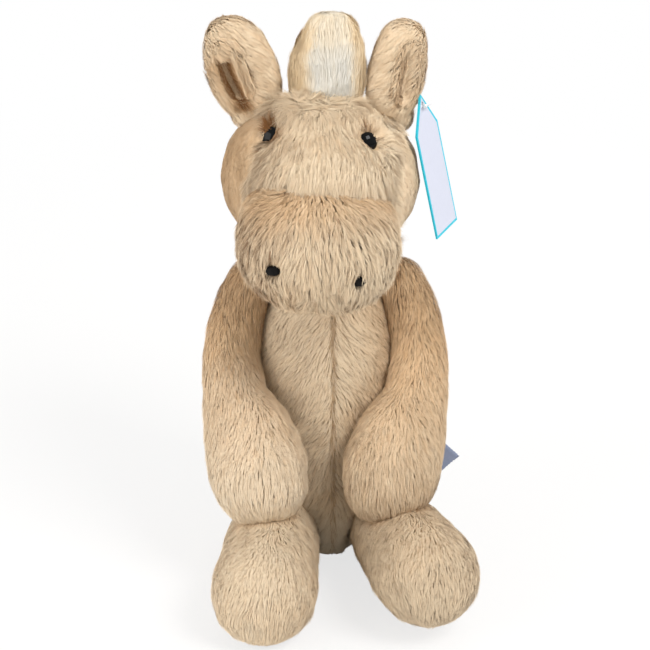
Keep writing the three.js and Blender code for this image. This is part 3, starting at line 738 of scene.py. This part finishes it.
def face_comb(points, facing):
    """Down the bridge and outwards, away from the eyes, and back over the crest."""
    out = face_place(points)
    way = ways(points, 0.35 * out + 0.9 * out ** 5, -0.55, -1)
    turn = (math.pi * crest(points))[:, None]
    aside = np.tanh(2 * out + 2.5 * swirl(points, 5 * MM, 71))[:, None] * np.array([1.0, 0, 0])
    way = unit(way) * np.cos(turn) + aside * np.sin(turn)
    for side, (place, _) in EYES.items():
        off = points - place
        far = np.linalg.norm(off, axis=1)
        near = 1 - ramp(far, 6, 14)
        outer = ramp(off[:, 0] * SIDES[side] + off[:, 2] * 0.7, -2, 4)
        away = unit(off + np.array([SIDES[side] * 2 * MM, 0, 2 * MM]))
        share = np.clip(near * outer * 1.6, 0, 1)[:, None]
        way = way * (1 - share) + away * share
    return way


def dim_side(points):
    """One on the face's right edge, which lies away from the light, zero from its middle on."""
    return 1 - smoothstep(face_place(points), -1.0, -0.2)


def socket(points):
    """One in the hollow of fur round an eye, most on its inner upper side, where the hair is shorter and
    painted darker and warmer as shade.
    """
    total = np.zeros(len(points))
    for side, (place, _) in EYES.items():
        off = points - (place + np.array([-SIDES[side] * 1.5, 0, 2.0]) * MM)
        total += np.exp(-(np.linalg.norm(off, axis=1) / (5.0 * MM)) ** 2)
    return total


def cheek_comb(points, facing):
    """Away from the face and down, all round the ball."""
    off = points - BALL
    return ways(points, off[:, 0] * 0.3, off[:, 1] * 0.3 + 6 * MM, -28 * MM)


def muzzle_comb(points, facing):
    """Down and outwards from the crease over the muzzle and on under the chin."""
    off = points - np.array([MUZZLE[0], MUZZLE_LOW[1] + 20 * MM, MUZZLE_HIGH[2] + 50 * MM])
    over = points[:, 0] - MUZZLE[0]
    rim = climb(points, MUZZLE_HIGH[2], -10, -2)
    turn = (0.8 * math.pi * rim * ramp(np.abs(over), 10, 20))[:, None]
    return unit(off) * np.cos(turn) + ways(points, np.sign(over), 0, 0) * np.sin(turn)


# Operators

class HORSE_OT_skins(bpy.types.Operator):
    """Makes the stuffed skins of the body, head, muzzle and limbs"""
    bl_idname = "plush_horse.skins"
    bl_label = "Stuffed skins"

    def execute(self, context):
        voxel = context.scene.horse_pile.voxel
        plush, cream = ("plush", "plush backing"), ("cream_pile", "cream backing")
        lining, cotton = ("lining", "plush backing"), ("pouch_cloth", "pouch cotton")
        # name, node, body, look, grain in voxels, rounds of smoothing, swell in mm, fill
        skins = [("body_skin", "body", "torso", plush, 1, 6, 0.3, 0.75),
                 ("head_skin", "head", "head", plush, 0.9, 8, 0.3, 0.75),
                 ("muzzle_skin", "muzzle", "head", plush, 0.9, 8, 0.3, 0.75)]
        for limb in ("arm", "leg"):
            for node in (f"{limb}_left", f"{limb}_right"):
                skins.append((f"{node}_skin", node, node, plush, 1, 10, 0.4, 0.7))
        for side in SIDES:
            ear = f"ear_{side}"
            skins += [(f"{ear}_skin", ear, ear, plush, 0.5, 8, 0.1, 0.4),
                      (f"{ear}_hollow", f"ear_lining_{side}", ear, lining, 0.35, 3, 0, 0.2)]
        skins += [("forelock_core", "forelock", "head", cream, 0.6, 6, 0, 0.5),
                  ("mane_core", "mane", "head", cream, 0.6, 6, 0, 0.5),
                  ("tail_core", "tail", "tail", cream, 0.6, 6, 0, 0.5),
                  ("pellet_pouch", "seat_pouch", "torso", cotton, 1, 4, 0, 0.8)]
        for name, node, body, look, grain, rounds, swell, fill in skins:
            piece = dressed(stuffed_skin(name, node, voxel * grain, rounds, swell * MM), body, *look)
            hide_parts(node)
        return {"FINISHED"}


class HORSE_OT_face_pile(bpy.types.Operator):
    """Lays the pile of the head, face and muzzle"""
    bl_idname = "plush_horse.face_pile"
    bl_label = "Face pile"

    def execute(self, context):
        self.ball_and_brow(context.scene.horse_pile)
        self.muzzle(context.scene.horse_pile)
        return {"FINISHED"}

    def ball_and_brow(self, settings):
        """The sheared ball of the head, and the long pile down its front."""
        # turn in degrees, half length and half width in mm of the opening for each eye
        slant = {"left": (-34, 5.0, 2.7), "right": (42, 3.9, 1.9)}
        clear = [oval(place, look + 0.25 * UP, *slant[side]) for side, (place, look) in EYES.items()]
        domes = [(place, look, RIM * MM, DOME) for place, look in EYES.values()]
        own = {"head", "ear_lining_left", "ear_lining_right"}
        near = {"muzzle", "forelock", "ear_left", "ear_right"}

        def rim(points):
            return smoothstep(np.abs(face_place(points)), 0.72, 0.95)

        def brow_length(points, facing):
            eaves = (1 - climb(points, MUZZLE_HIGH[2], -2, 9)) * (1 - rim(points))
            longer = 1 + 0.15 * rim(points) + 0.8 * crest(points) + 0.45 * eaves
            return settings.face_pile * longer * (1 - 0.35 * socket(points))

        def brow_lift(points, facing):
            flat = smoothstep(facing[:, 2], 0.4, 0.8) * (1 - crest(points))
            return 0.44 + 0.28 * rim(points) + 0.35 * crest(points) - 0.20 * flat

        # painted light on the face's left side, towards the light, and painted shade in the eye hollows
        # and on its right side away from it
        def brow_tone(points, facing):
            lit = smoothstep(face_place(points), 0.2, 0.8)
            return 0.64 + 0.10 * lit - 0.50 * socket(points) - 0.20 * dim_side(points)

        def cheek_shade(points, low, high):
            """One on the front of the ball's right side, away from the light, where shade is painted,
            from one place across it in mm to another.
            """
            side_shade = 1 - ramp(points[:, 0] - BALL[0], low, high)
            return side_shade * (1 - ramp(points[:, 1] - BALL[1], -6, 14))

        # painted shade: the cheek's right front warmer and darker
        lay_pile(
            "head", "cheek_pile", "head_skin", own, 53000, 11, cheek_comb, even(settings.cheek_pile),
            even(0.20), lambda p, n: 0.26 + 0.12 * swirl(p, 60 * MM, 5) + 0.44 * cheek_shade(p, -38, -10),
            lambda p, n: 0.72 - 0.37 * cheek_shade(p, -44, 5), kin=near,
            wanted=lambda p, n: 1 - 0.97 * face_share(p, n), width=0.40 * MM, gather=0, openings=clear,
            domes=domes, contrast=0.05, root_shade=0.10, slits=0, roll=0.08)
        lay_pile(
            "head", "face_pile", "head_skin", own, 64000, 12, face_comb, brow_length, brow_lift,
            lambda p, n: 0.12 + 0.08 * swirl(p, 50 * MM, 6) + 0.45 * socket(p), brow_tone, kin=near,
            wanted=face_share, openings=clear, domes=domes, contrast=0.75, slits=0.03, roll=0.25,
            across_to=("muzzle_skin",))

    def muzzle(self, settings):
        """The muzzle, a little darker than the brow and golden under its seam, with painted shade under
        the chin, on its side away from the light and in ticks along the crease.
        """
        ahead = np.array([0, -1, 0.15])
        gaps = [oval(NOSTRILS["right"], ahead, 97, 3.2, 2.2),
                oval(NOSTRILS["left"], ahead, 50, 2.3, 1.25)]
        top = MUZZLE_HIGH[2]

        # painted shade: darker under the chin and on the right side away from the light, a little darker
        # towards the top, and dark ticks along the crease that are partly the seam's thread and partly
        # painted shade between the locks
        def muzzle_tone_and_shade(points, facing):
            over = points[:, 0] - MUZZLE[0] - 5 * MM
            stitch_and_shade_band = climb(points, top, -5, -2) * (1 - ramp(np.abs(over), 8, 14))
            crease_ticks = stitch_and_shade_band * (np.sin(over / (0.55 * MM)) > -0.2)
            chin = 1 - climb(points, MUZZLE_LOW[2], 8, 22)
            side_shade = dim_side(points) * (1 - ramp(points[:, 1] - MUZZLE_LOW[1], 18, 34))
            return 0.59 - 0.03 * climb(points, top, -28, -4) - 0.10 * chin - 0.20 * side_shade - 0.22 * crease_ticks

        def shorn(points, facing):
            near = ramp(points[:, 1] - MUZZLE_LOW[1], 16, 30)
            out = ramp(np.abs(points[:, 0] - MUZZLE[0]), 12, 20)
            short = climb(points, top, -9, -1) * (1 - out)
            return settings.face_pile * (1 - 0.25 * near) * (1 - 0.35 * short)

        lay_pile(
            "head", "muzzle_pile", "muzzle_skin", {"muzzle"}, 64000, 13, muzzle_comb, shorn,
            lambda p, n: 0.46 - 0.16 * climb(p, top, -9, -1),
            lambda p, n: 0.12 + 0.55 * climb(p, top, -18, -3) + 0.08 * swirl(p, 50 * MM, 7), muzzle_tone_and_shade,
            kin={"head"}, openings=gaps, clump=0.65 * MM, contrast=0.9, slits=0.04, roll=0.25,
            across_to=("head_skin",))


class HORSE_OT_body_pile(bpy.types.Operator):
    """Lays the pile of the body, arms and legs"""
    bl_idname = "plush_horse.body_pile"
    bl_label = "Body pile"

    def execute(self, context):
        length = even(context.scene.horse_pile.body_pile)
        self.body(length)
        for side, sign in SIDES.items():
            self.arm(side, sign, length)
            # painted shade and light: the left leg darker and the right leg lighter, from how the light
            # falls
            lay_pile(
                f"leg_{side}", f"leg_{side}_pile", f"leg_{side}_skin", {f"leg_{side}"}, 50000,
                {"left": 41, "right": 42}[side], lambda p, n: ways(p, sign * 0.12, -0.40, -1), length,
                lambda p, n: 0.44 - 0.20 * smoothstep(n[:, 2], 0.2, 0.8),
                lambda p, n: 0.08 + 0.10 * swirl(p, 60 * MM, 9), even(0.60 - 0.12 * sign),
                contrast=0.25, slits=0.01)
        return {"FINISHED"}

    def body(self, length):
        """The body in two halves, combed away from the seam up the belly."""
        back = middle("body")[1]

        def seam(points, width):
            return np.exp(-((points[:, 0] - BELLY_SEAM) / (width * MM)) ** 2) * (points[:, 1] < back)

        def herringbone(points, facing):
            side = np.tanh((points[:, 0] - BELLY_SEAM) / (1.5 * MM))
            front = ramp(-(points[:, 1] - back), -5, 10)
            return ways(points, 0.55 * side * front, 0, -1)

        def shaded(points):
            """One where the arm at its left shades the belly."""
            right = ramp(points[:, 0] - BELLY_SEAM, 0, 8)
            return beside(points, "arm_left", 24 * MM) * right * (points[:, 1] < back)

        # painted light low between the legs, painted shade on the right half, away from the light, and
        # beside the arm; darker along the seam
        def belly_tone_and_shade(points, facing):
            low = 1 - climb(points, 0, 8, 40)
            right = 1 - ramp(points[:, 0] - BELLY_SEAM, -12, 4)
            return 0.63 - 0.25 * seam(points, 0.7) + 0.35 * low - 0.10 * right - 0.25 * shaded(points)

        for name, sign, seed, count in (("belly_pile", -1, 21, 58000), ("back_pile", 1, 22, 38000)):
            lay_pile(
                "torso", name, "body_skin", {"body"}, count, seed, herringbone, length, even(0.46),
                lambda p, n: 0.08 + 0.10 * swirl(p, 60 * MM, 8) + 0.38 * shaded(p), belly_tone_and_shade,
                contrast=0.42, slits=0.03,
                wanted=lambda p, n: ((p[:, 1] - back) * sign > 0) * (1 - 0.85 * seam(p, 0.5)) + 1e-6)

    def arm(self, side, sign, length):
        """An arm, warmer towards the shoulder, with the head's shadow painted darker on its top, and the
        left arm painted darker and the right arm lighter, most at the hand.
        """
        low, high = box_corners(f"arm_{side}")
        hand = np.array([(low[0] + high[0]) / 2 - sign * 8 * MM, low[1] + 12 * MM, low[2] - 40 * MM])

        # painted shadow of the head on the arm's top, painted shade on the left arm and painted light on
        # the right arm, most at the hand
        def arm_light_and_shade(points, facing):
            mid, top = climb(points, low[2], 5, 50), climb(points, low[2], 55, 90)
            return 0.68 - 0.30 * top - sign * (0.28 * (1 - mid) + 0.12 * mid * (1 - top))

        def arm_lift(points, facing):
            band = climb(points, 0, 30, 42) * (1 - climb(points, 0, 62, 80))
            return 0.44 - 0.28 * band * (sign > 0) * smoothstep(facing[:, 0], 0.3, 0.7)

        lay_pile(
            f"arm_{side}", f"arm_{side}_pile", f"arm_{side}_skin", {f"arm_{side}"}, 50000,
            {"left": 31, "right": 32}[side],
            lambda p, n: unit(hand - p) + np.array([sign * 0.10, 0, -0.2]), length, arm_lift,
            lambda p, n: 0.55 * climb(p, low[2], 15, 85) + 0.20, arm_light_and_shade, contrast=0.38,
            slits=0.025)


class HORSE_OT_ears(bpy.types.Operator):
    """Lays the pile of the ears, rolled over the hollow, with painted shade, dark and golden, in its
    fold
    """
    bl_idname = "plush_horse.ears"
    bl_label = "Ears"

    def execute(self, context):
        # the fold's line across and up in mm, its half width in mm, how dark its painted shade is, two
        # seeds
        self.ear("left", [(26.0, 218), (27.5, 226), (30.0, 240)], 1.6, 0.4, 51, 53)
        self.ear("right", [(-42.5, 218), (-47.5, 227), (-51.0, 236)], 4.8, 1.4, 52, 54)
        return {"FINISHED"}

    def ear(self, side, line, width, strength, seed, hollow_seed):
        """One ear and its hollow, with painted shade, dark and golden, along its fold."""
        fold = np.array(line) * MM
        root = np.array(hinge(f"ear_{side}_fold")["pos_m"], float)
        low, high = box_corners(f"ear_{side}")
        tip = np.array([(low[0] + high[0]) / 2, (low[1] + high[1]) / 2, high[2]])
        rise = (tip - root) / np.linalg.norm(tip - root)
        across = np.cross(np.array([0.0, 1.0, 0.0]), rise)
        across /= np.linalg.norm(across)
        own = {f"ear_{side}", f"ear_lining_{side}"}

        def comb(points, facing):
            fall = 0.9 * smoothstep(-facing[:, 1], 0.0, 0.5)
            return rise * (1 - 1.7 * fall)[:, None] + across * (0.75 * fall * -SIDES[side])[:, None]

        # painted shade along the fold, where the hair is also shorter
        def deep(points):
            spine = np.interp(points[:, 2], fold[:, 1], fold[:, 0])
            band = np.exp(-((points[:, 0] - spine) / (width * MM)) ** 2)
            ends = climb(points, fold[0, 1], -5, 0) * (1 - climb(points, fold[-1, 1], 0, 6))
            return strength * band * ends

        lay_pile(
            f"ear_{side}", f"ear_{side}_pile", f"ear_{side}_skin", own, 22000, seed, comb,
            lambda p, n: 5.5 * MM * (1 - 0.5 * deep(p)), even(0.42),
            lambda p, n: 0.24 + 0.7 * deep(p) * (n[:, 1] < 0),
            lambda p, n: 0.68 - 0.46 * deep(p) * (n[:, 1] < 0.2), kin={"head", "forelock"}, contrast=0.5)
        lay_pile(
            f"ear_{side}", f"ear_{side}_hollow_pile", f"ear_{side}_hollow", own, 9000, hollow_seed, comb,
            lambda p, n: 7.5 * MM * (1 - 0.72 * deep(p)), even(0.62),
            lambda p, n: 0.30 + 0.66 * deep(p), lambda p, n: 0.66 - 0.50 * deep(p), contrast=0.4,
            wanted=lambda p, n: (n[:, 1] < -0.1).astype(float) + 1e-6, look=("lining", "plush pile"))


class HORSE_OT_tufts(bpy.types.Operator):
    """Lays the long hair of the forelock, mane and tail"""
    bl_idname = "plush_horse.tufts"
    bl_label = "Tufts"

    def execute(self, context):
        long = context.scene.horse_pile.tuft_length
        look = ("cream_pile", "cream pile")
        centre = middle("forelock")
        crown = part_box("forelock")[1][2]

        def edge(points, low, high):
            """One at the two sides of the tuft."""
            return ramp(np.abs(points[:, 0] - centre[0] - 1 * MM), low, high)

        def up_tuft(points, facing):
            off, top = points - centre, climb(points, crown, -10, 0)
            return ways(points, -off[:, 0] * 0.5 - 6 * MM * top, -off[:, 1] * 0.4, 25 * MM)

        def peach_edge(points, facing):
            top = climb(points, crown, -30, -12)
            return 0.03 + 0.92 * edge(points, 5, 13) + 0.45 * top * (1 - edge(points, 5, 13))

        def tuft_tone(points, facing):
            top = climb(points, crown, -20, -6)
            return 0.66 + 0.24 * top - 0.36 * edge(points, 7, 14) * (1 - top)

        lay_pile(
            "head", "forelock_hair", "forelock_core", {"forelock"}, 28000, 61, up_tuft,
            lambda p, n: long * (1 - 0.55 * climb(p, crown, -12, 0)), even(0.18), peach_edge, tuft_tone,
            kin={"head", "ear_left", "ear_right"}, gather=0.1, clump=1.2 * MM, stretch=6, segments=2,
            contrast=0.15, root_shade=0.12, stray=1.3, slits=0, look=look)
        lay_pile(
            "head", "mane_hair", "mane_core", {"mane"}, 11000, 62, lambda p, n: ways(p, 0, 0.4, -1),
            even(long), even(0.30), even(0.45), even(0.80), kin={"head"}, clump=1.6 * MM, segments=2,
            look=look)
        lay_pile(
            "tail", "tail_hair", "tail_core", {"tail"}, 9000, 63, lambda p, n: ways(p, 0, 0.25, -1),
            even(long), even(0.25), even(0.45), even(0.80), clump=1.6 * MM, segments=2, look=look)
        return {"FINISHED"}


class HORSE_OT_eyes(bpy.types.Operator):
    """Turns the glossy eyes on their ringed shanks"""
    bl_idname = "plush_horse.eyes"
    bl_label = "Eyes"

    def execute(self, context):
        # all in mm: the shank's radius, the height and spacing of its rings, its end, the dome's foot
        shank, ring, pitch, end, foot = 2.0, 0.3, 1.7, -14.0, 0.6
        outline = [(0.0, end), (shank, end)]
        for step in range(4):
            rung = end + (step + 1) * pitch
            outline += [(shank, rung - pitch / 2), (shank + ring, rung), (shank, rung + 0.1)]
        top = DOME / MM
        outline += [(shank, 0.0), (4.3, 0.0), (4.45, 0.1), (RIM, 0.3), (RIM, foot)]
        outline += [(RIM * math.cos(a), foot + (top - foot) * math.sin(a))
                    for a in (math.radians(7.5 * k) for k in range(1, 12))] + [(0.0, top)]
        for side, (place, look) in EYES.items():
            bm = bmesh.new()
            verts = [bm.verts.new((r * MM, 0, z * MM)) for r, z in outline]
            edges = [bm.edges.new(pair) for pair in zip(verts, verts[1:])]
            bmesh.ops.spin(bm, geom=verts + edges, axis=(0, 0, 1), cent=(0, 0, 0), steps=40,
                           angle=math.tau, use_merge=True)
            bmesh.ops.remove_doubles(bm, verts=bm.verts, dist=0.01 * MM)
            turn = Vector(look).to_track_quat("Z", "Y").to_matrix().to_4x4()
            bmesh.ops.transform(bm, matrix=Matrix.Translation(place) @ turn, verts=bm.verts)
            bmesh.ops.recalc_face_normals(bm, faces=bm.faces)
            piece = dressed(finished(bm, f"eye_{side}_dome"), "head", "eye_gloss", "eye gloss")
            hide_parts(f"eye_{side}")
            repainted(f"eye_washer_{side}", "washer plastic")
        return {"FINISHED"}


class HORSE_OT_nostrils(bpy.types.Operator):
    """Stitches the two nostrils in satin stitch"""
    bl_idname = "plush_horse.nostrils"
    bl_label = "Nostrils"

    def execute(self, context):
        stitches, slope = 13, Matrix.Rotation(math.radians(6), 3, "Y")
        for side, place in NOSTRILS.items():
            low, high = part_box(f"nostril_{side}")
            half = (Vector(high) - Vector(low)) / 2
            bm = bmesh.new()
            bmesh.ops.create_uvsphere(bm, u_segments=20, v_segments=12, radius=1)
            bmesh.ops.scale(bm, vec=(half.x, half.y * 0.8, half.z), verts=bm.verts)
            for index in range(stitches):
                over = -0.94 + 1.88 * index / (stitches - 1)
                chord = math.sqrt(1 - over * over)
                made = bmesh.ops.create_uvsphere(bm, u_segments=8, v_segments=8, radius=1)["verts"]
                bmesh.ops.scale(bm, vec=(half.x * 1.2 / stitches, half.y * 0.45, half.z * chord * 1.08),
                                verts=made)
                bmesh.ops.rotate(bm, cent=(0, 0, 0), matrix=slope, verts=made)
                place_on = (half.x * over, -half.y * (0.25 + 0.45 * chord), 0)
                bmesh.ops.translate(bm, vec=place_on, verts=made)
            bmesh.ops.translate(bm, vec=Vector(place), verts=bm.verts)
            piece = finished(bm, f"nostril_{side}_stitches")
            dressed(piece, "head", "nostril_thread", "black thread")
            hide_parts(f"nostril_{side}")
        return {"FINISHED"}


class HORSE_OT_card(bpy.types.Operator):
    """Cuts the bare five-cornered card with its coloured border, and finishes its pin"""
    bl_idname = "plush_horse.card"
    bl_label = "Swing tag"

    def execute(self, context):
        swing = hinge("tag_swing")
        across = -Vector(swing["axis"]).normalized()
        facing = across.cross(Vector((0, 0, 1)))
        facing = facing if facing.x > 0 else -facing
        normal = Matrix.Rotation(math.radians(-13), 3, across) @ facing
        width, side, peak, inset, thick, border = (v * MM for v in (30, 48, 16, 5, 0.8, 1.6))
        half, shoulder = width / 2, inset - peak
        foot = shoulder - side
        bm = bmesh.new()
        outer = bm.faces.new([bm.verts.new((x, y, 0)) for x, y in (
            (0, inset), (-half, shoulder), (-half, foot), (half, foot), (half, shoulder))])
        bm.normal_update()
        bmesh.ops.inset_individual(bm, faces=[outer], thickness=border)
        inner = max(bm.faces, key=lambda f: len(f.verts))
        rim = list(inner.edges)
        bmesh.ops.delete(bm, geom=[inner], context="FACES_ONLY")
        hole = bmesh.ops.create_circle(bm, segments=24, radius=1.6 * MM)["verts"]
        ring = list({edge for vert in hole for edge in vert.link_edges})
        panel = bmesh.ops.triangle_fill(bm, edges=rim + ring, use_beauty=True)["geom"]
        for face in (item for item in panel if isinstance(item, bmesh.types.BMFace)):
            face.material_index = 1
        bmesh.ops.recalc_face_normals(bm, faces=bm.faces)
        bmesh.ops.solidify(bm, geom=bm.faces, thickness=thick)
        bmesh.ops.translate(bm, vec=(0, 0, -thick / 2), verts=bm.verts)
        bmesh.ops.recalc_face_normals(bm, faces=bm.faces)
        basis = Matrix((across, normal.cross(across), normal)).transposed().to_4x4()
        place = Matrix.Translation(Vector(swing["pos_m"])) @ basis
        bmesh.ops.transform(bm, matrix=place, verts=bm.verts)
        piece = finished(bm, "swing_card", smooth=False)
        dressed(piece, "tag", "tag_card", "card border", "card face")
        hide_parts("swing_tag")
        repainted("tag_pin", "clear filament")
        return {"FINISHED"}


class HORSE_OT_label(bpy.types.Operator):
    """Folds the ribbon label in the side seam"""
    bl_idname = "plush_horse.label"
    bl_label = "Side label"

    def execute(self, context):
        low, high = (Vector(corner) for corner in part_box("side_label"))
        width, reach, mid = high.z - low.z, high.x - low.x, (low + high) / 2
        flat = 2 * reach
        layer, bend, slope = 0.35 * MM, 1.2 * MM, 0.80
        tuck, tuck_reach, wave = 0.9 * MM, 1.5 * MM, 0.5 * MM
        bm = bmesh.new()
        bmesh.ops.create_grid(bm, x_segments=44, y_segments=16, size=0.5)
        bmesh.ops.scale(bm, vec=(flat, width, 1), verts=bm.verts)
        for vert in bm.verts:
            onward, over = vert.co.x, vert.co.y
            side = 1 if onward > 0 else -1
            out = reach - abs(onward)
            gap = layer * side if out < reach - bend else layer * onward / bend
            x, y, z = low.x + out, mid.y + gap, mid.z + over
            for sign in (1, -1):
                line = Vector((math.cos(slope), 0, sign * math.sin(slope)))
                beyond = Vector((x - high.x, 0, z - mid.z)).dot(line)
                if beyond > 0:
                    x -= 2 * beyond * line.x
                    z -= 2 * beyond * line.z
                    y += tuck * min(beyond / tuck_reach, 1)
            y += wave * math.sin((x - low.x) / reach * 2.4 + over / width * 1.5)
            vert.co = (x, y, z)
        bmesh.ops.recalc_face_normals(bm, faces=bm.faces)
        piece = finished(bm, "ribbon_label")
        wall = piece.modifiers.new("Ribbon", "SOLIDIFY")
        wall.thickness = 0.25 * MM
        wall.offset = 0
        applied(piece)
        dressed(piece, "torso", "label_satin", "satin ribbon")
        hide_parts("side_label")
        return {"FINISHED"}


class HORSE_OT_stage(bpy.types.Operator):
    """Makes the camera, the pale floor and the soft lamps"""
    bl_idname = "plush_horse.stage"
    bl_label = "Stage"

    def execute(self, context):
        scene, stage = context.scene, context.scene.horse_stage
        scene.view_settings.view_transform = "Standard"
        lens = bpy.data.cameras.new("photo camera")
        lens.lens, lens.sensor_width, lens.shift_x, lens.clip_start = stage.focal, 36, stage.shift, 0.01
        camera = scene.camera = shown("photo camera", lens)
        back = Vector((0, -math.cos(stage.elevation), math.sin(stage.elevation)))
        camera.location = Vector(stage.aim) + back * stage.distance
        camera.rotation_mode = "QUATERNION"
        camera.rotation_quaternion = (-back).to_track_quat("-Z", "Y")
        for name, place, size, power, tint in (
                ("key", (0.60, -0.60, 0.95), 0.50, 10.8, (1, 0.98, 0.95)),
                ("fill", (-0.9, -0.55, 0.40), 0.8, 7.5, (1, 0.97, 0.93)),
                ("rim", (0.1, 0.9, 0.7), 0.6, 4.0, (1, 1, 1))):
            lamp = bpy.data.lights.new(name, "AREA")
            lamp.size, lamp.energy, lamp.color = size, power, tint
            piece = shown(name, lamp)
            piece.location = place
            aim = Vector(stage.aim) - Vector(place)
            piece.rotation_euler = aim.to_track_quat("-Z", "Y").to_euler()
        self.floor()
        self.air(scene)
        return {"FINISHED"}

    def floor(self):
        """A pale floor that glows for the camera, less near the toy, where its shadow falls."""
        bm = bmesh.new()
        bmesh.ops.create_grid(bm, x_segments=1, y_segments=1, size=3)      # six metres square
        floor = finished(bm, "floor", smooth=False)
        material, tree, shader = new_material("floor", 0.9, Base_Color=(0.86, 0.86, 0.86, 1))
        glow = placed(tree, "Emission", Color=(1, 1, 1, 1))
        away = placed(tree, "VectorMath", Vector=placed(tree, "TexCoord").outputs["Object"])
        away.operation = "LENGTH"
        fade = ranged(tree, away.outputs["Value"], 0.2, 0.9, 0.74, 1.0)
        path = placed(tree, "LightPath").outputs
        share = calculated(tree, "MULTIPLY", path["Is Camera Ray"], fade)
        switched(tree, share, shader.outputs[0], glow.outputs[0], "Material Output")
        floor.data.materials.append(material)

    def air(self, scene):
        """Soft light from all round, and plain white where nothing stands."""
        scene.world = bpy.data.worlds.new("studio")
        scene.world.use_nodes = True
        tree = scene.world.node_tree
        light = tree.nodes["Background"]
        filled(tree, light, {"Color": (1.0, 0.985, 0.96, 1), "Strength": 0.48})
        white = placed(tree, "Background", Color=(1, 1, 1, 1))
        path = placed(tree, "LightPath").outputs
        share = calculated(tree, "MAXIMUM", path["Is Camera Ray"], path["Is Transmission Ray"])
        share = calculated(tree, "MAXIMUM", share, path["Is Glossy Ray"])
        switched(tree, share, light.outputs[0], white.outputs[0], "World Output")


class HORSE_PT_panel(bpy.types.Panel):
    """Lists the steps that dress the horse"""
    bl_label = "Plush Horse"
    bl_idname = "HORSE_PT_panel"
    bl_space_type = "VIEW_3D"
    bl_region_type = "UI"
    bl_category = "Plush Horse"

    def draw(self, context):
        for step in STEPS:
            self.layout.operator(step.bl_idname)
        for owner in (context.scene.horse_pile, context.scene.horse_finish, context.scene.horse_stage):
            for name in owner.__annotations__:
                self.layout.prop(owner, name)


STEPS = (HORSE_OT_stage, HORSE_OT_skins, HORSE_OT_face_pile, HORSE_OT_body_pile, HORSE_OT_ears,
         HORSE_OT_tufts, HORSE_OT_eyes, HORSE_OT_nostrils, HORSE_OT_card, HORSE_OT_label)
CLASSES = (PileSettings, FinishSettings, StageSettings, *STEPS, HORSE_PT_panel)


def register():
    for item in CLASSES:
        bpy.utils.register_class(item)
    bpy.types.Scene.horse_pile = PointerProperty(type=PileSettings)
    bpy.types.Scene.horse_finish = PointerProperty(type=FinishSettings)
    bpy.types.Scene.horse_stage = PointerProperty(type=StageSettings)


def unregister():
    del bpy.types.Scene.horse_stage
    del bpy.types.Scene.horse_finish
    del bpy.types.Scene.horse_pile
    for item in reversed(CLASSES):
        bpy.utils.unregister_class(item)


def main():
    register()
    for step in STEPS:
        area, name = step.bl_idname.split(".")
        getattr(getattr(bpy.ops, area), name)()


if __name__ == "__main__":
    main()
